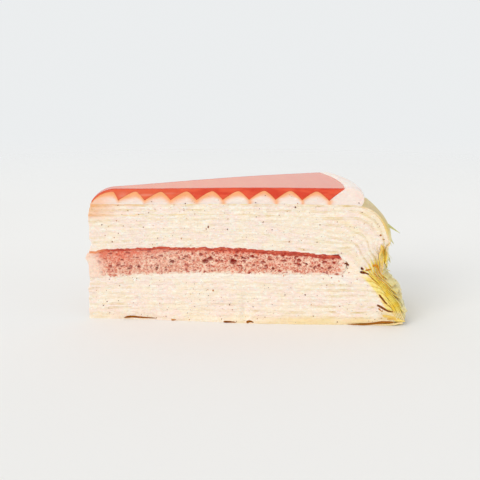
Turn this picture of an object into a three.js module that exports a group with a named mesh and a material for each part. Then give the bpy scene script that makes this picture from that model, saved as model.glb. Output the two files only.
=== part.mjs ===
// A cut slice of a tall crepe cake, in millimetres, +Z up, standing on the plane z = 0.
// Its point is at -X and its round rim at +X, and the wedge is even about the XZ plane.
// From the table up it holds nine crepes with cream between them, a berry sponge under a thin
// layer of jam inside a coat of cream, nine more crepes with cream, a cream topping raised in
// round ridges, and a clear fruit jelly poured over the ridges to a level top. At the rim the
// bare edges of all the crepes hang down over each other like a skirt.
// Every piece is a ring-shaped layer cut to the wedge: its section is drawn in (r, z), where r
// is the distance from the upright axis of the whole cake, and swept between the two cuts.
import * as THREE from "three";

// ---- driving dimensions ----
const sliceDegrees = 24; // a fifteenth of a whole cake
const cakeHeight = 51.3;
const skirtRadius = 121.3; // the bottom crepe's edge
const tipRadius = 0.4; // the bottom crepe's point is this far from the axis of the whole cake
const tipLean = 0.025; // and the point leans back this much for each millimetre it rises
const crepesInBlock = 9; // in the block under the sponge, and again over it
const crepeThickness = 0.8;
const rimThickness = 0.3; // of a crepe's bare, drier edge
const clearance = 0.04; // between one layer and the next

// berry sponge with its jam
const spongeRadius = 98.4;
const jamThickness = 0.9;
const creamUnderSponge = 1.3;
const creamOverJam = 0.6;

// upper block of crepes
const upperBlockTop = 45.3;
const bendStart = 98.5; // the crepes lie flat up to this radius, then turn down
const bendReach = 0.88; // how far a crepe turns out for each millimetre it lies above the sponge
const bendFullness = 0.77; // 1 for an elliptical shoulder, less for a squarer one
const bendSteps = 6;

// hanging edges
const edgePitch = 0.6; // sideways, from one hanging edge to the next
const lowestUpperHem = 4.4; // height at which the edge of the upper block's first crepe ends
const hemStep = 2.5; // each upper crepe's edge ends this much higher than the one before
const lastSqueezed = 14; // up to this crepe, cream fills the space behind the hanging edges
const hemWaver = 0.35; // and wavers this much from place to place
const levelDrop = 1.3; // how far below its own flat part a lower crepe has turned fully down

// topping and jelly
const firstRidge = 11.4; // radius of its top
const secondRidge = 20; // from here on the ridges are evenly spaced
const ridgePitch = 9.57;
const ridgeCount = 9;
const ridgeTop = 50.1;
const ridgeValley = 46.5;
const ridgeRoundness = 1.25; // 1 for straight flanks, more for a rounder ridge
const firstLean = 0.34; // share of the pitch from the second ridge's top to the valley behind it
const lastLean = 0.46; // the same behind the last ridge
const jellyRadius = 97;

// ---- the two cuts ----
const halfAngle = THREE.MathUtils.degToRad(sliceDegrees / 2);
const sweepSteps = 4;
const cutBulge = 0.6; // the soft cake stands out this much between its point and its rim
const tipBlunt = 0.35; // and this much at the point, which is blunt
const bulgeAt = (r) =>
  cutBulge * Math.sin((Math.PI * Math.min(r, skirtRadius)) / skirtRadius) +
  tipBlunt * Math.exp(-r / 3);

// A repeatable number from -1 to 1 for a layer and a place on it.
function uneven(layer, place) {
  const s = Math.sin(layer * 12.9898 + place * 78.233) * 43758.5453;
  return (s - Math.floor(s)) * 2 - 1;
}

// ---- heights ----
const jamTopAt = (r) => {
  const share = Math.min(r / spongeRadius, 1);
  return 26.6 + 2.4 * Math.sin(Math.PI * share ** 0.75);
};
const spongeTopAt = (r) => jamTopAt(r) - jamThickness;
const spongeUnderAt = (r) => 17.2 + 2 * (1 - Math.exp(-r / 25));
const gaps = crepesInBlock - 1;

// Underside of crepe g, counted from 1 at the table; each block shares out its own height.
function crepeUnderAt(g, r) {
  if (g <= crepesInBlock) {
    const room = spongeUnderAt(Math.min(r, spongeRadius)) - creamUnderSponge - crepeThickness;
    return ((g - 1) * room) / gaps;
  }
  const floor = jamTopAt(Math.min(r, bendStart)) + creamOverJam;
  return floor + ((g - crepesInBlock - 1) * (upperBlockTop - crepeThickness - floor)) / gaps;
}
const flatHeight = (g) => crepeUnderAt(g, skirtRadius);

// ---- the point of the slice ----
// The knife has pressed the top of the point down into a quarter round.
const tipRound = { r: 12.3, z: 40.3, radius: 11 };
const tipRoundTopAt = (r) =>
  r < tipRound.r
    ? tipRound.z + Math.sqrt(tipRound.radius ** 2 - (tipRound.r - r) ** 2)
    : cakeHeight;

// Radius at which a layer starts, from the height of its middle and its own unevenness.
function tipStart(z, layer) {
  if (z > tipRound.z)
    return tipRound.r - Math.sqrt(tipRound.radius ** 2 - (z - tipRound.z) ** 2) + 0.15;
  const hollow = 1.1 * Math.exp(-(((z - 29.5) / 5) ** 2));
  return tipRadius + tipLean * z + hollow + 0.3 * uneven(layer, 7);
}

// ---- the hanging edges ----
const slopeAt = (z) => 117 - 0.0247 * z * z; // where the cream of the lower block ends
const lean = edgePitch / (flatHeight(2) - flatHeight(1));
const hangingRadius = (g, z) => {
  const lower = Math.min(g, crepesInBlock);
  return slopeAt(z) + lean * (flatHeight(lower) - z) + edgePitch * (g - lower);
};
const shortestHang = 0.7; // the last stretch of a hanging edge is at least this long
const slopeLevels = [];
for (let g = crepesInBlock; g > 2; g--) slopeLevels.push(flatHeight(g) - levelDrop);
const slopeStart = 18.6; // height at which the upper crepes land on the lower block

// The upper crepes run together along a line between these two points.
const gatherInner = { r: 104.6, z: 21.4 };
const gatherOuter = { r: 113.8, z: 29.8 };

// Height at which crepe g's hanging edge ends.
function edgeEnd(g) {
  if (g <= crepesInBlock) return 1.3 + 0.06 * (g - 2);
  return lowestUpperHem + hemStep * (g - crepesInBlock - 1) + 0.3 * uneven(g, 3);
}

// ---- lines of the section ----
const flatRadii = [20, 40, 60, 80, 92];

// Moves the last point of a line along its last stretch, for the hem at sweep line k.
function waver(line, g, k) {
  const [r, z] = line[line.length - 1];
  const [r0, z0] = line[line.length - 2];
  const shift = (hemWaver * uneven(g, 11 + 5 * k)) / Math.hypot(r - r0, z - z0);
  return [...line.slice(0, -1), [r + shift * (r - r0), z + shift * (z - z0)]];
}

// Hanging part of crepe g, through those of these levels that it passes.
function hangingLine(g, levels) {
  const end = edgeEnd(g);
  const passed = levels.filter((z) => z > end + shortestHang);
  const line = passed.map((z) => [hangingRadius(g, z), z]);
  if (!line.length) return [[hangingRadius(g, end), end]];
  const above = line[line.length - 1];
  const below = levels[passed.length] ?? 0;
  const share = (above[1] - end) / (above[1] - below);
  line.push([above[0] + share * (hangingRadius(g, below) - above[0]), end]);
  return line;
}

function lowerCrepeUnder(g) {
  const z = flatHeight(g);
  const start = tipStart(crepeUnderAt(g, 0) + crepeThickness / 2, g);
  const line = [g === 1 ? tipRadius : start, ...flatRadii].map((r) => [r, crepeUnderAt(g, r)]);
  line.push([spongeRadius, z]);
  if (g === 1) return [...line, [110, 0], [116, 0.1], [skirtRadius, 0.3]];
  line.push([slopeAt(z) - 2.2, z], [slopeAt(z) - 0.6, z - 0.25]);
  const levels = slopeLevels.filter((level) => level < z - levelDrop + 0.01);
  return [...line, ...hangingLine(g, levels)];
}

function upperCrepeUnder(g) {
  const start = tipStart(crepeUnderAt(g, 5) + crepeThickness / 2, g);
  const line = [start, ...flatRadii, bendStart].map((r) => [r, crepeUnderAt(g, r)]);
  const hinge = jamTopAt(bendStart) - 0.6;
  const height = crepeUnderAt(g, bendStart) - hinge;
  const share = (g - crepesInBlock - 1) / gaps;
  const gather = [
    THREE.MathUtils.lerp(gatherInner.r, gatherOuter.r, share),
    THREE.MathUtils.lerp(gatherInner.z, gatherOuter.z, share),
  ];
  const left = Math.max(gather[1] + 0.7 - hinge, 0) / height;
  const fullTurn = Math.min(
    (Math.PI / 4) * (1 + Math.sqrt(share)), // the inner ones turn down less
    Math.acos(left ** (1 / bendFullness)),
  );
  for (let turn = 1; turn <= bendSteps; turn++) {
    const angle = (fullTurn / bendSteps) * turn;
    const out = bendReach * height * Math.sin(angle) ** bendFullness;
    line.push([bendStart + out, hinge + height * Math.cos(angle) ** bendFullness]);
  }
  line.push(gather);
  const end = edgeEnd(g);
  if (end > slopeStart - shortestHang) {
    const fall = (gather[1] - end) / (gather[1] - slopeStart);
    line.push([THREE.MathUtils.lerp(gather[0], hangingRadius(g, slopeStart), fall), end]);
    return line;
  }
  return [...line, ...hangingLine(g, [slopeStart, ...slopeLevels])];
}
function crepeUnder(g, k = 0) {
  const line = g <= crepesInBlock ? lowerCrepeUnder(g) : upperCrepeUnder(g);
  return g <= crepesInBlock ? line : waver(line, g, k);
}

// A line moved to its upper, outer side; thicknessAt gives the distance at each of its points.
function offsetLine(line, thicknessAt) {
  return line.map(([r, z], i) => {
    const before = line[Math.max(i - 1, 0)];
    const after = line[Math.min(i + 1, line.length - 1)];
    const run = after[0] - before[0];
    const rise = after[1] - before[1];
    const length = Math.hypot(run, rise);
    const t = thicknessAt(i, r, z);
    return [r - (t * rise) / length, z + (t * run) / length];
  });
}

// A crepe keeps its thickness while it lies flat and thins towards its hanging edge.
const flatPoints = flatRadii.length + 2;
const crepeOver = (g, k = 0) =>
  offsetLine(crepeUnder(g, k), (i) => {
    if (g === 1) return i < flatPoints ? crepeThickness : 0.6;
    const share = Math.max(i - flatPoints, 0) / (g > crepesInBlock ? bendSteps + 1 : 2);
    return THREE.MathUtils.lerp(crepeThickness, rimThickness, Math.min(share, 1));
  });

// Cream fills the space between crepe g and the one over it, and tapers off between their
// hanging edges; only the outermost edges hang bare from where the crepes gather.
const midpoint = ([r0, z0], [r1, z1]) => [(r0 + r1) / 2, (z0 + z1) / 2];

function creamLines(g) {
  const under = offsetLine(crepeOver(g), () => clearance);
  const over = offsetLine(crepeUnder(g + 1), () => -clearance);
  if (g > crepesInBlock) {
    const squeezed = g <= lastSqueezed ? 1 : 0;
    const count = flatPoints + bendSteps + 1 + squeezed;
    return [under.slice(0, count), over.slice(0, count)];
  }
  if (g === 1) {
    const edge = hangingRadius(2, 0) - 0.5;
    const rise = under[flatPoints + 1][1] + 0.04;
    const foot = [
      [edge - 3, rise],
      [edge - 1.3, rise],
      [edge, rise],
    ];
    return [[...under.slice(0, flatPoints), ...foot], over.slice(0, flatPoints + 3)];
  }
  const last = flatPoints + 1;
  const middle = midpoint(under[last - 1], under[last]);
  const low = [...under.slice(0, last), middle, ...under.slice(last, last + 2)];
  return [low, over.slice(0, last + 3)];
}

// ---- sponge, jam and the coat of cream round them ----
const spongeStart = tipRadius + 0.6;
const spongeStations = (start) => [start, ...flatRadii];

function spongeLines() {
  const under = spongeStations(spongeStart).map((r) => [r, spongeUnderAt(r)]);
  const over = spongeStations(spongeStart).map((r) => [r, spongeTopAt(r)]);
  under.push([96.5, 19.5], [98.2, 21.6]);
  over.push([96.4, 25.8], [spongeRadius, 24.2]);
  return [under, over];
}

function jamLines() {
  const start = spongeStart + 0.5;
  const under = spongeStations(start).map((r) => [r, spongeTopAt(r) + clearance]);
  const over = spongeStations(start).map((r) => [r, jamTopAt(r)]);
  under.push([96.4, 25.86]);
  over.push([95.9, 26.55]);
  return [under, over];
}

// The coat is a C in section: under the sponge, round its edge, and back over the jam.
function coatLines() {
  const radii = spongeStations(spongeStart + 0.6);
  const below = crepeOver(crepesInBlock);
  const floor = flatHeight(crepesInBlock) + crepeThickness + clearance;
  const outer = radii.map((r, i) => [r, below[i][1] + clearance]);
  const inner = radii.map((r) => [r, spongeUnderAt(r) - clearance]);
  outer.push([107.8, floor], [109.2, 17.5], [108.5, 18.42]);
  outer.push([104.45, 21.3], [99.15, 26.8], [98.4, 27.12]);
  inner.push([96.52, 19.44], [98.25, 21.6], [98.45, 24.22]);
  inner.push([97.46, 25.05], [96.47, 25.88], [95.95, 26.6]);
  for (const r of [...radii].reverse()) {
    outer.push([r, crepeUnderAt(crepesInBlock + 1, r) - clearance]);
    inner.push([r, jamTopAt(r) + clearance]);
  }
  return [outer, inner];
}

// ---- topping and jelly ----
// Round ridges with sharp valleys between them; the knife has dragged the first valley inwards.
const ridgeTopRadius = (n) => (n === 0 ? firstRidge : secondRidge + ridgePitch * (n - 1));
function valleyRadius(n) {
  if (n === 0) return firstRidge + 0.22 * (secondRidge - firstRidge);
  const lean = THREE.MathUtils.lerp(firstLean, lastLean, (n - 1) / (ridgeCount - 2));
  return ridgeTopRadius(n) + lean * ridgePitch;
}
const lastValley = valleyRadius(ridgeCount - 1);

// The jelly has run over the point from the first ridge. It thins out towards its lower end.
const jellyStart = 3;
const jellyEdge = 0.42; // its thickness there
function jellyThicknessAt(r) {
  const share = (r - jellyStart) / (firstRidge - jellyStart);
  return THREE.MathUtils.lerp(jellyEdge, cakeHeight - ridgeTop - clearance, share ** 0.7);
}

function ridgeAt(r) {
  if (r < firstRidge) return tipRoundTopAt(r) - jellyThicknessAt(r) - clearance;
  let n = 0;
  while (n < ridgeCount - 1 && ridgeTopRadius(n + 1) <= r) n++;
  const valley = valleyRadius(n);
  const top = ridgeTopRadius(r < valley ? n : n + 1);
  const away = (r - top) / (valley - top);
  return ridgeTop - (ridgeTop - ridgeValley) * away ** ridgeRoundness;
}

const ridgeRadii = [jellyStart, jellyStart + 1.2, jellyStart + 3.8];
for (let n = 0; n < ridgeCount; n++) {
  const [top, valley, next] = [ridgeTopRadius(n), valleyRadius(n), ridgeTopRadius(n + 1)];
  for (const share of [0, 0.4, 0.75]) ridgeRadii.push(top + share * (valley - top));
  ridgeRadii.push(valley);
  if (n === ridgeCount - 1) break;
  for (const share of [0.25, 0.6]) ridgeRadii.push(valley + share * (next - valley));
}

function toppingLines() {
  const floor = upperBlockTop + clearance;
  const under = ridgeRadii.map((r) => [r, floor]);
  const over = ridgeRadii.map((r) => [r, ridgeAt(r)]);
  under[0] = [ridgeRadii[0] - 0.45, floor];
  const rise = (lastValley + jellyRadius) / 2;
  const dome = [
    [rise, 48.9],
    [97.2, 51.1],
    [100.2, cakeHeight],
    [102.8, 50.6],
    [104.6, 48.9],
    [105.2, 46.8],
    [104.5, 44.9],
  ];
  const shoulder = crepeOver(2 * crepesInBlock).slice(flatPoints, flatPoints + 2);
  const onShoulder = (share) => [
    THREE.MathUtils.lerp(shoulder[0][0], shoulder[1][0], share),
    THREE.MathUtils.lerp(shoulder[0][1], shoulder[1][1], share) + clearance,
  ];
  under.push([rise, floor], [95.5, floor], [97.4, floor], [98.6, floor]);
  under.push(onShoulder(0), onShoulder(0.2), onShoulder(0.4));
  return [under, [...over, ...dome]];
}

function jellyLines() {
  const under = ridgeRadii.map((r) => [r, ridgeAt(r) + clearance]);
  const over = ridgeRadii.map((r) => [r, tipRoundTopAt(r)]);
  const rise = (lastValley + jellyRadius) / 2;
  under.push([rise, 48.94], [96.8, 50.85]);
  over.push([rise, cakeHeight], [jellyRadius, cakeHeight]);
  return [under, over];
}

// ---- from section lines to a closed wedge ----
// linesAt(k) gives the under and the over line of the section at sweep line k; the two have
// as many points as each other.
function wedge(name, material, linesAt, proud) {
  const count = linesAt(0)[0].length;
  const positions = [];
  for (let k = 0; k <= sweepSteps; k++) {
    const angle = halfAngle * ((2 * k) / sweepSteps - 1);
    const side = k === 0 ? -1 : k === sweepSteps ? 1 : 0;
    for (const [r, z] of linesAt(k).flat()) {
      const out = side * (proud + bulgeAt(r));
      const x = r * Math.cos(angle) - out * Math.sin(angle);
      const y = r * Math.sin(angle) + out * Math.cos(angle);
      positions.push(x, y, z);
    }
  }
  const at = (k, line, i) => (2 * k + line) * count + i;
  const faces = [];
  const quad = (a, b, c, d) => faces.push(a, b, c, a, c, d);
  const end = count - 1;
  for (let k = 0; k < sweepSteps; k++) {
    for (let i = 0; i < end; i++) {
      quad(at(k, 0, i), at(k + 1, 0, i), at(k + 1, 0, i + 1), at(k, 0, i + 1));
      quad(at(k, 1, i), at(k, 1, i + 1), at(k + 1, 1, i + 1), at(k + 1, 1, i));
    }
    quad(at(k, 0, 0), at(k, 1, 0), at(k + 1, 1, 0), at(k + 1, 0, 0));
    quad(at(k, 0, end), at(k + 1, 0, end), at(k + 1, 1, end), at(k, 1, end));
  }
  for (let i = 0; i < end; i++) {
    quad(at(0, 0, i), at(0, 0, i + 1), at(0, 1, i + 1), at(0, 1, i));
    const k = sweepSteps;
    quad(at(k, 0, i), at(k, 1, i), at(k, 1, i + 1), at(k, 0, i + 1));
  }
  const geometry = new THREE.BufferGeometry();
  geometry.setAttribute("position", new THREE.Float32BufferAttribute(positions, 3));
  geometry.setIndex(faces);
  geometry.computeVertexNormals();
  const mesh = new THREE.Mesh(geometry, material);
  mesh.name = name;
  return mesh;
}

// ---- materials ----
const matt = (color, roughness) =>
  new THREE.MeshStandardMaterial({ color, roughness, metalness: 0 });
const crepeMaterial = matt(0xf1dfa8, 0.6);
const creamMaterial = matt(0xfbeadb, 0.5);
const spongeMaterial = matt(0xe2a196, 0.85);
const jamMaterial = matt(0xb8402f, 0.35);
const toppingMaterial = matt(0xfdf0e4, 0.45);
const jellyMaterial = matt(0xe0604a, 0.12);

// ---- the slice ----
const cake = new THREE.Group();
const crepeProud = 0.15; // the crepes' cut edges stand out from the cream
for (let g = 1; g <= 2 * crepesInBlock; g++) {
  const block = g <= crepesInBlock ? "lower" : "upper";
  const number = g <= crepesInBlock ? g : g - crepesInBlock;
  const crepeLines = (k) => [crepeUnder(g, k), crepeOver(g, k)];
  cake.add(wedge(`${block}_crepe_${number}`, crepeMaterial, crepeLines, crepeProud));
  if (number < crepesInBlock)
    cake.add(wedge(`${block}_cream_${number}`, creamMaterial, () => creamLines(g), 0));
}
cake.add(wedge("sponge", spongeMaterial, spongeLines, -0.1));
cake.add(wedge("jam", jamMaterial, jamLines, 0));
cake.add(wedge("sponge_coat", creamMaterial, coatLines, 0));
cake.add(wedge("topping", toppingMaterial, toppingLines, 0.05));
cake.add(wedge("jelly", jellyMaterial, jellyLines, 0.1));

// The origin lies under the middle of the slice.
const box = new THREE.Box3().setFromObject(cake);
cake.position.x = -(box.min.x + box.max.x) / 2;

export default cake;
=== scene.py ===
import math

import bpy
import numpy
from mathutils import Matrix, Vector


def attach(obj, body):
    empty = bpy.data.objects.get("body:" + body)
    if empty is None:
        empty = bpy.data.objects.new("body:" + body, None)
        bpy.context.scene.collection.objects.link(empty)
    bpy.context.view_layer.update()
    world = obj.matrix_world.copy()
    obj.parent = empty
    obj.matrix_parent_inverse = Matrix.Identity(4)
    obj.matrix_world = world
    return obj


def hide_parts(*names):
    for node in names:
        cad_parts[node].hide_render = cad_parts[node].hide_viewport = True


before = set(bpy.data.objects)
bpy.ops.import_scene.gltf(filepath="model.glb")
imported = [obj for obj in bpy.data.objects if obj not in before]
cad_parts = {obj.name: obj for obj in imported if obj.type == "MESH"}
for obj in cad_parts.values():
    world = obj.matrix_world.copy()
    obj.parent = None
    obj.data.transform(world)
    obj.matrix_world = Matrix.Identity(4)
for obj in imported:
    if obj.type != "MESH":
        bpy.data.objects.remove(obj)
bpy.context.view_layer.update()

# The slice is drawn in millimetres in (r, angle, z) round the upright axis of the whole cake, and
# turned into metres in the frame's own place when each mesh is made. Side -1 is the near cut,
# 1 the far cut, and 0 all that lies between them. Crepes are numbered g from the bottom up.
cake = {
    "halfAngle": math.radians(12),
    "axisX": -60.8813,  # where the cake's axis stands in the frame
    "height": 51.3,
    "crepesInBlock": 9,
    "crepeThickness": 0.8,
    "tipRadius": 0.4,
    "tipLean": 0.025,  # the point leans back this much for each millimetre it rises
    "tipBlunt": 0.35,  # half its width
    "spongeStart": 1.0,
    "spongeTurn": 92,  # from here on the sponge, the jam and their cream round off
    "spongeRadius": 98.4,
    "jamDepth": 0.9,
    "bendStart": 98.5,
    "skirtRadius": 121.3,
    "blockTop": 45.3,
    "gap": 0.004,  # hairline between two layers
    "cutStations": 250,  # steps along a cut, from the point to the shoulder
    "rimColumns": 84,  # steps round the rim
    "rimArc": 115,  # radius at which places round the rim are counted in millimetres
}
halfAngle = cake["halfAngle"]
spongeTurn = cake["spongeTurn"]
lowerTop = cake["crepesInBlock"]
upperFirst = lowerTop + 1
lastCrepe = 2 * lowerTop


# soft noise and small helpers
noiseSize = 64
noiseTable = numpy.random.RandomState(11).rand(noiseSize, noiseSize, noiseSize) * 2 - 1


def softNoise(x, y, z=0.0, seed=0):
    x, y, z = numpy.broadcast_arrays(x, y, z)
    place = numpy.stack([x, y, z]).astype(float) + seed * 7.31 + 20
    cell = numpy.floor(place).astype(int)
    part = place - cell
    part = part * part * (3 - 2 * part)
    total = numpy.zeros(x.shape)
    for corners in numpy.ndindex(2, 2, 2):
        share = 1.0
        for axis, corner in enumerate(corners):
            share = share * (part[axis] if corner else 1 - part[axis])
        total += share * noiseTable[tuple((cell[axis] + corners[axis]) % noiseSize for axis in (0, 1, 2))]
    return total


def ease(low, high, value):  # 0 below low, 1 above high
    share = numpy.clip((numpy.asarray(value, float) - low) / (high - low), 0, 1)
    return share * share * (3 - 2 * share)


def fade(low, high, value):  # 1 below low, 0 above high
    return 1 - ease(low, high, value)


def hill(value, middle, width):
    return numpy.exp(-(((value - middle) / width) ** 2))


def mound(r, z, place, level, wide, high, amount):
    return amount * hill(r, place, wide) * hill(z, level, high)


def highest(first, *others):
    for other in others:
        first = numpy.maximum(first, other)
    return first


def blendTo(low, high, share):
    return low + (high - low) * share


def uneven(layer, place):  # a repeatable number from -1 to 1
    s = math.sin(layer * 12.9898 + place * 78.233) * 43758.5453
    return (s - math.floor(s)) * 2 - 1


def lineOf(r, z):  # stations (r, z)
    return numpy.stack(numpy.broadcast_arrays(r, z), axis=1)


def addObject(name, data):
    thing = bpy.data.objects.new(name, data)
    bpy.context.scene.collection.objects.link(thing)
    return thing


def writeMark(mesh, label, values, kind="FLOAT"):
    layer = mesh.attributes.new(label, kind, "POINT")
    values = numpy.asarray(values, numpy.float32).ravel()
    layer.data.foreach_set("value" if kind == "FLOAT" else "vector", values)


# heights of the layers
stackLook = {
    "wander": 0.3,  # how far a crepe strays from its even height
    "jamRagged": 0.3,
    "spongeRagged": 0.5,
    "tipSag": 0.9,  # how much lower the sponge hangs at the point
    "coatUnder": 1.3, "coatOver": 0.6,  # room for cream below and above the sponge
}
tipRound = {"r": 12.3, "z": 40.3, "radius": 11}  # the knife has pressed the top of the point down


def jamTop(r):
    share = numpy.clip(numpy.asarray(r, float) / cake["spongeRadius"], 0, 1)
    return 26.6 + 2.4 * numpy.sin(math.pi * share ** 0.75)


def jamEdge(r):  # the uneven upper edge that shows
    r = numpy.asarray(r, float)
    ragged = softNoise(r / 2.1, 0.5, 0, 33) + 0.7 * softNoise(r / 0.7, 0.5, 0, 34)
    return jamTop(r) + stackLook["jamRagged"] * ragged * fade(90, 96, r)


def spongeUnder(r):
    return 17.2 + 2 * (1 - numpy.exp(-numpy.asarray(r, float) / 25))


def spongeBottom(r):
    return spongeUnder(r) - stackLook["tipSag"] * hill(r, 8, 12)


def spongeFoot(r):  # the torn lower edge that shows
    r = numpy.asarray(r, float)
    ragged = 0.8 * softNoise(r / 3.2, 0.5, 0, 36) + softNoise(r / 1.1, 0.5, 0, 37)
    ragged = ragged + 0.7 * softNoise(r / 0.45, 0.5, 0, 38)
    return spongeBottom(r) + stackLook["spongeRagged"] * ragged * fade(88, spongeTurn, r)


def crepeLevel(g, r):
    gaps = lowerTop - 1
    if g <= lowerTop:
        room = spongeUnder(numpy.minimum(r, cake["spongeRadius"])) - stackLook["coatUnder"]
        return (g - 1) * (room - cake["crepeThickness"]) / gaps
    floor = jamTop(numpy.minimum(r, cake["bendStart"])) + stackLook["coatOver"]
    return floor + (g - upperFirst) * (cake["blockTop"] - cake["crepeThickness"] - floor) / gaps


def wander(g, r):
    if g in (1, lastCrepe):
        return 0 * r
    size = stackLook["wander"] * (0.3 if g == upperFirst else 1)
    strays = softNoise(r / 9, g * 1.7, 0, 4) + 0.5 * softNoise(r / 3.1, g * 1.9, 0, 8)
    return size * strays * fade(84, 96, r)


def tipStart(z, layer):
    if z > tipRound["z"]:
        return tipRound["r"] - math.sqrt(tipRound["radius"] ** 2 - (z - tipRound["z"]) ** 2) + 0.15
    hollow = 1.1 * math.exp(-(((z - 29.5) / 5) ** 2))
    return cake["tipRadius"] + cake["tipLean"] * z + hollow + 0.3 * uneven(layer, 7)


# the hanging edges
hem = {
    "pitch": 0.6,  # sideways from one hanging edge to the next
    "lowest": 4.4,  # height at which the upper block's first crepe ends
    "step": 2.5,
    "drop": 1.3,
    "landing": 18.6,  # height at which the upper crepes meet the lower block
    "slopeRadius": 117, "slopeCurve": 0.0247,  # where the lower edges lie at the foot, and how they lean in
    "pleat": 0.75,  # waves shared by all the edges
    "flare": 1.2,  # how far the last stretch of an edge lifts outwards
    "ragged": 1.0,
    "setBack": 4.2,  # how far the outermost edge shrinks back behind the cuts
    "footThickness": 0.55,
}
shoulder = {
    "reach": 0.88,  # how far a crepe turns out for each millimetre it lies above the sponge
    "fullness": 0.77,
    "hingeDepth": 0.6,  # how far below the top of the jam the crepes turn
    "gatherInner": (104.6, 21.4),  # the upper crepes run together along the line between these
    "gatherOuter": (113.8, 29.8),
}


def flatLevel(g):
    return float(crepeLevel(g, cake["skirtRadius"]))


def slopeAt(z):
    return hem["slopeRadius"] - hem["slopeCurve"] * z * z


def hangingRadius(g, z):
    lean = hem["pitch"] / (flatLevel(2) - flatLevel(1))
    lower = min(g, lowerTop)
    return slopeAt(z) + lean * (flatLevel(lower) - z) + hem["pitch"] * (g - lower)


def hemHeight(g):
    if g <= lowerTop:
        return 1.3 + 0.06 * (g - 2)
    return hem["lowest"] + hem["step"] * (g - upperFirst) + 0.3 * uneven(g, 3)


def evenOut(line, count):  # the same line with count stations evenly along it
    line = numpy.array(line, float)
    along = numpy.concatenate([[0], numpy.cumsum(numpy.linalg.norm(numpy.diff(line, axis=0), axis=1))])
    wanted = numpy.linspace(0, along[-1], count)
    return numpy.stack([numpy.interp(wanted, along, line[:, k]) for k in (0, 1)], axis=1)


def roundOff(points, count):
    # a smooth line through the points, with count stations evenly along it
    points = numpy.array(points, float)
    grown = numpy.vstack([2 * points[0] - points[1], points, 2 * points[-1] - points[-2]])
    fine = []
    for i in range(1, len(grown) - 2):
        a, b, c, d = grown[i - 1 : i + 3]
        before, here, after = (max(numpy.linalg.norm(run), 1e-6) for run in (b - a, c - b, d - c))
        leave = ((b - a) / before * here + (c - b) / here * before) / (before + here) * here
        arrive = ((c - b) / here * after + (d - c) / after * here) / (here + after) * here
        for t in numpy.linspace(0, 1, 12, endpoint=False):
            t2, t3 = t * t, t * t * t
            fine.append((2 * t3 - 3 * t2 + 1) * b + (t3 - 2 * t2 + t) * leave
                        + (3 * t2 - 2 * t3) * c + (t3 - t2) * arrive)
    fine.append(points[-1])
    return evenOut(fine, count)


def extended(line, points, count):  # the line, and on from its end smoothly through the points
    return numpy.vstack([line, roundOff(points, count)[1:]])


def lineNormals(line):
    run = numpy.gradient(line, axis=0)
    run /= numpy.maximum(numpy.linalg.norm(run, axis=1, keepdims=True), 1e-9)
    return numpy.stack([-run[:, 1], run[:, 0]], axis=1)


def nudge(line, distance):
    return line + lineNormals(line) * distance


def hangPoints(g, levels):
    end = hemHeight(g)
    line = [(hangingRadius(g, z), z) for z in levels if z > end + 0.7]
    return line + [(hangingRadius(g, end), end)]


slopeLevels = [flatLevel(n) - hem["drop"] for n in range(lowerTop, 2, -1)]


def crepeParts(g):
    # control points of a crepe's underside: its bend, and its hanging edge
    z = flatLevel(g)
    start = cake["bendStart"]
    if g == 1:
        return [(start, 0), (104, 0), (110, 0)], [(110, 0), (116, 0.1), (cake["skirtRadius"], 0.3)]
    if g <= lowerTop:
        bend = [(start, z), (slopeAt(z) - 2.2, z), (slopeAt(z) - 0.6, z - 0.25)]
        hang = hangPoints(g, [level for level in slopeLevels if level < z - hem["drop"] + 0.01])
        return bend, [bend[-1]] + hang
    share = (g - upperFirst) / (lowerTop - 1)
    inner, outer = shoulder["gatherInner"], shoulder["gatherOuter"]
    gather = (blendTo(inner[0], outer[0], share), blendTo(inner[1], outer[1], share))
    hinge = float(jamTop(start)) - shoulder["hingeDepth"]
    height = float(crepeLevel(g, start)) - hinge
    left = max(gather[1] + 0.7 - hinge, 0) / height
    fullTurn = min(math.pi / 4 * (1 + math.sqrt(share)), math.acos(left ** (1 / shoulder["fullness"])))
    bend = [(start, hinge + height)]
    for turn in range(1, 11):
        angle = fullTurn / 10 * turn
        out = shoulder["reach"] * height * math.sin(angle) ** shoulder["fullness"]
        bend.append((start + out, hinge + height * math.cos(angle) ** shoulder["fullness"]))
    bend.append(gather)
    end = hemHeight(g)
    if end > hem["landing"] - 0.7:
        fall = (gather[1] - end) / (gather[1] - hem["landing"])
        return bend, [gather, (blendTo(gather[0], hangingRadius(g, hem["landing"]), fall), end)]
    return bend, [gather] + hangPoints(g, [hem["landing"]] + slopeLevels)


flatCount = cake["cutStations"]
bendCount = 22
hangCount = 26
crepeStore = {}


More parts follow.
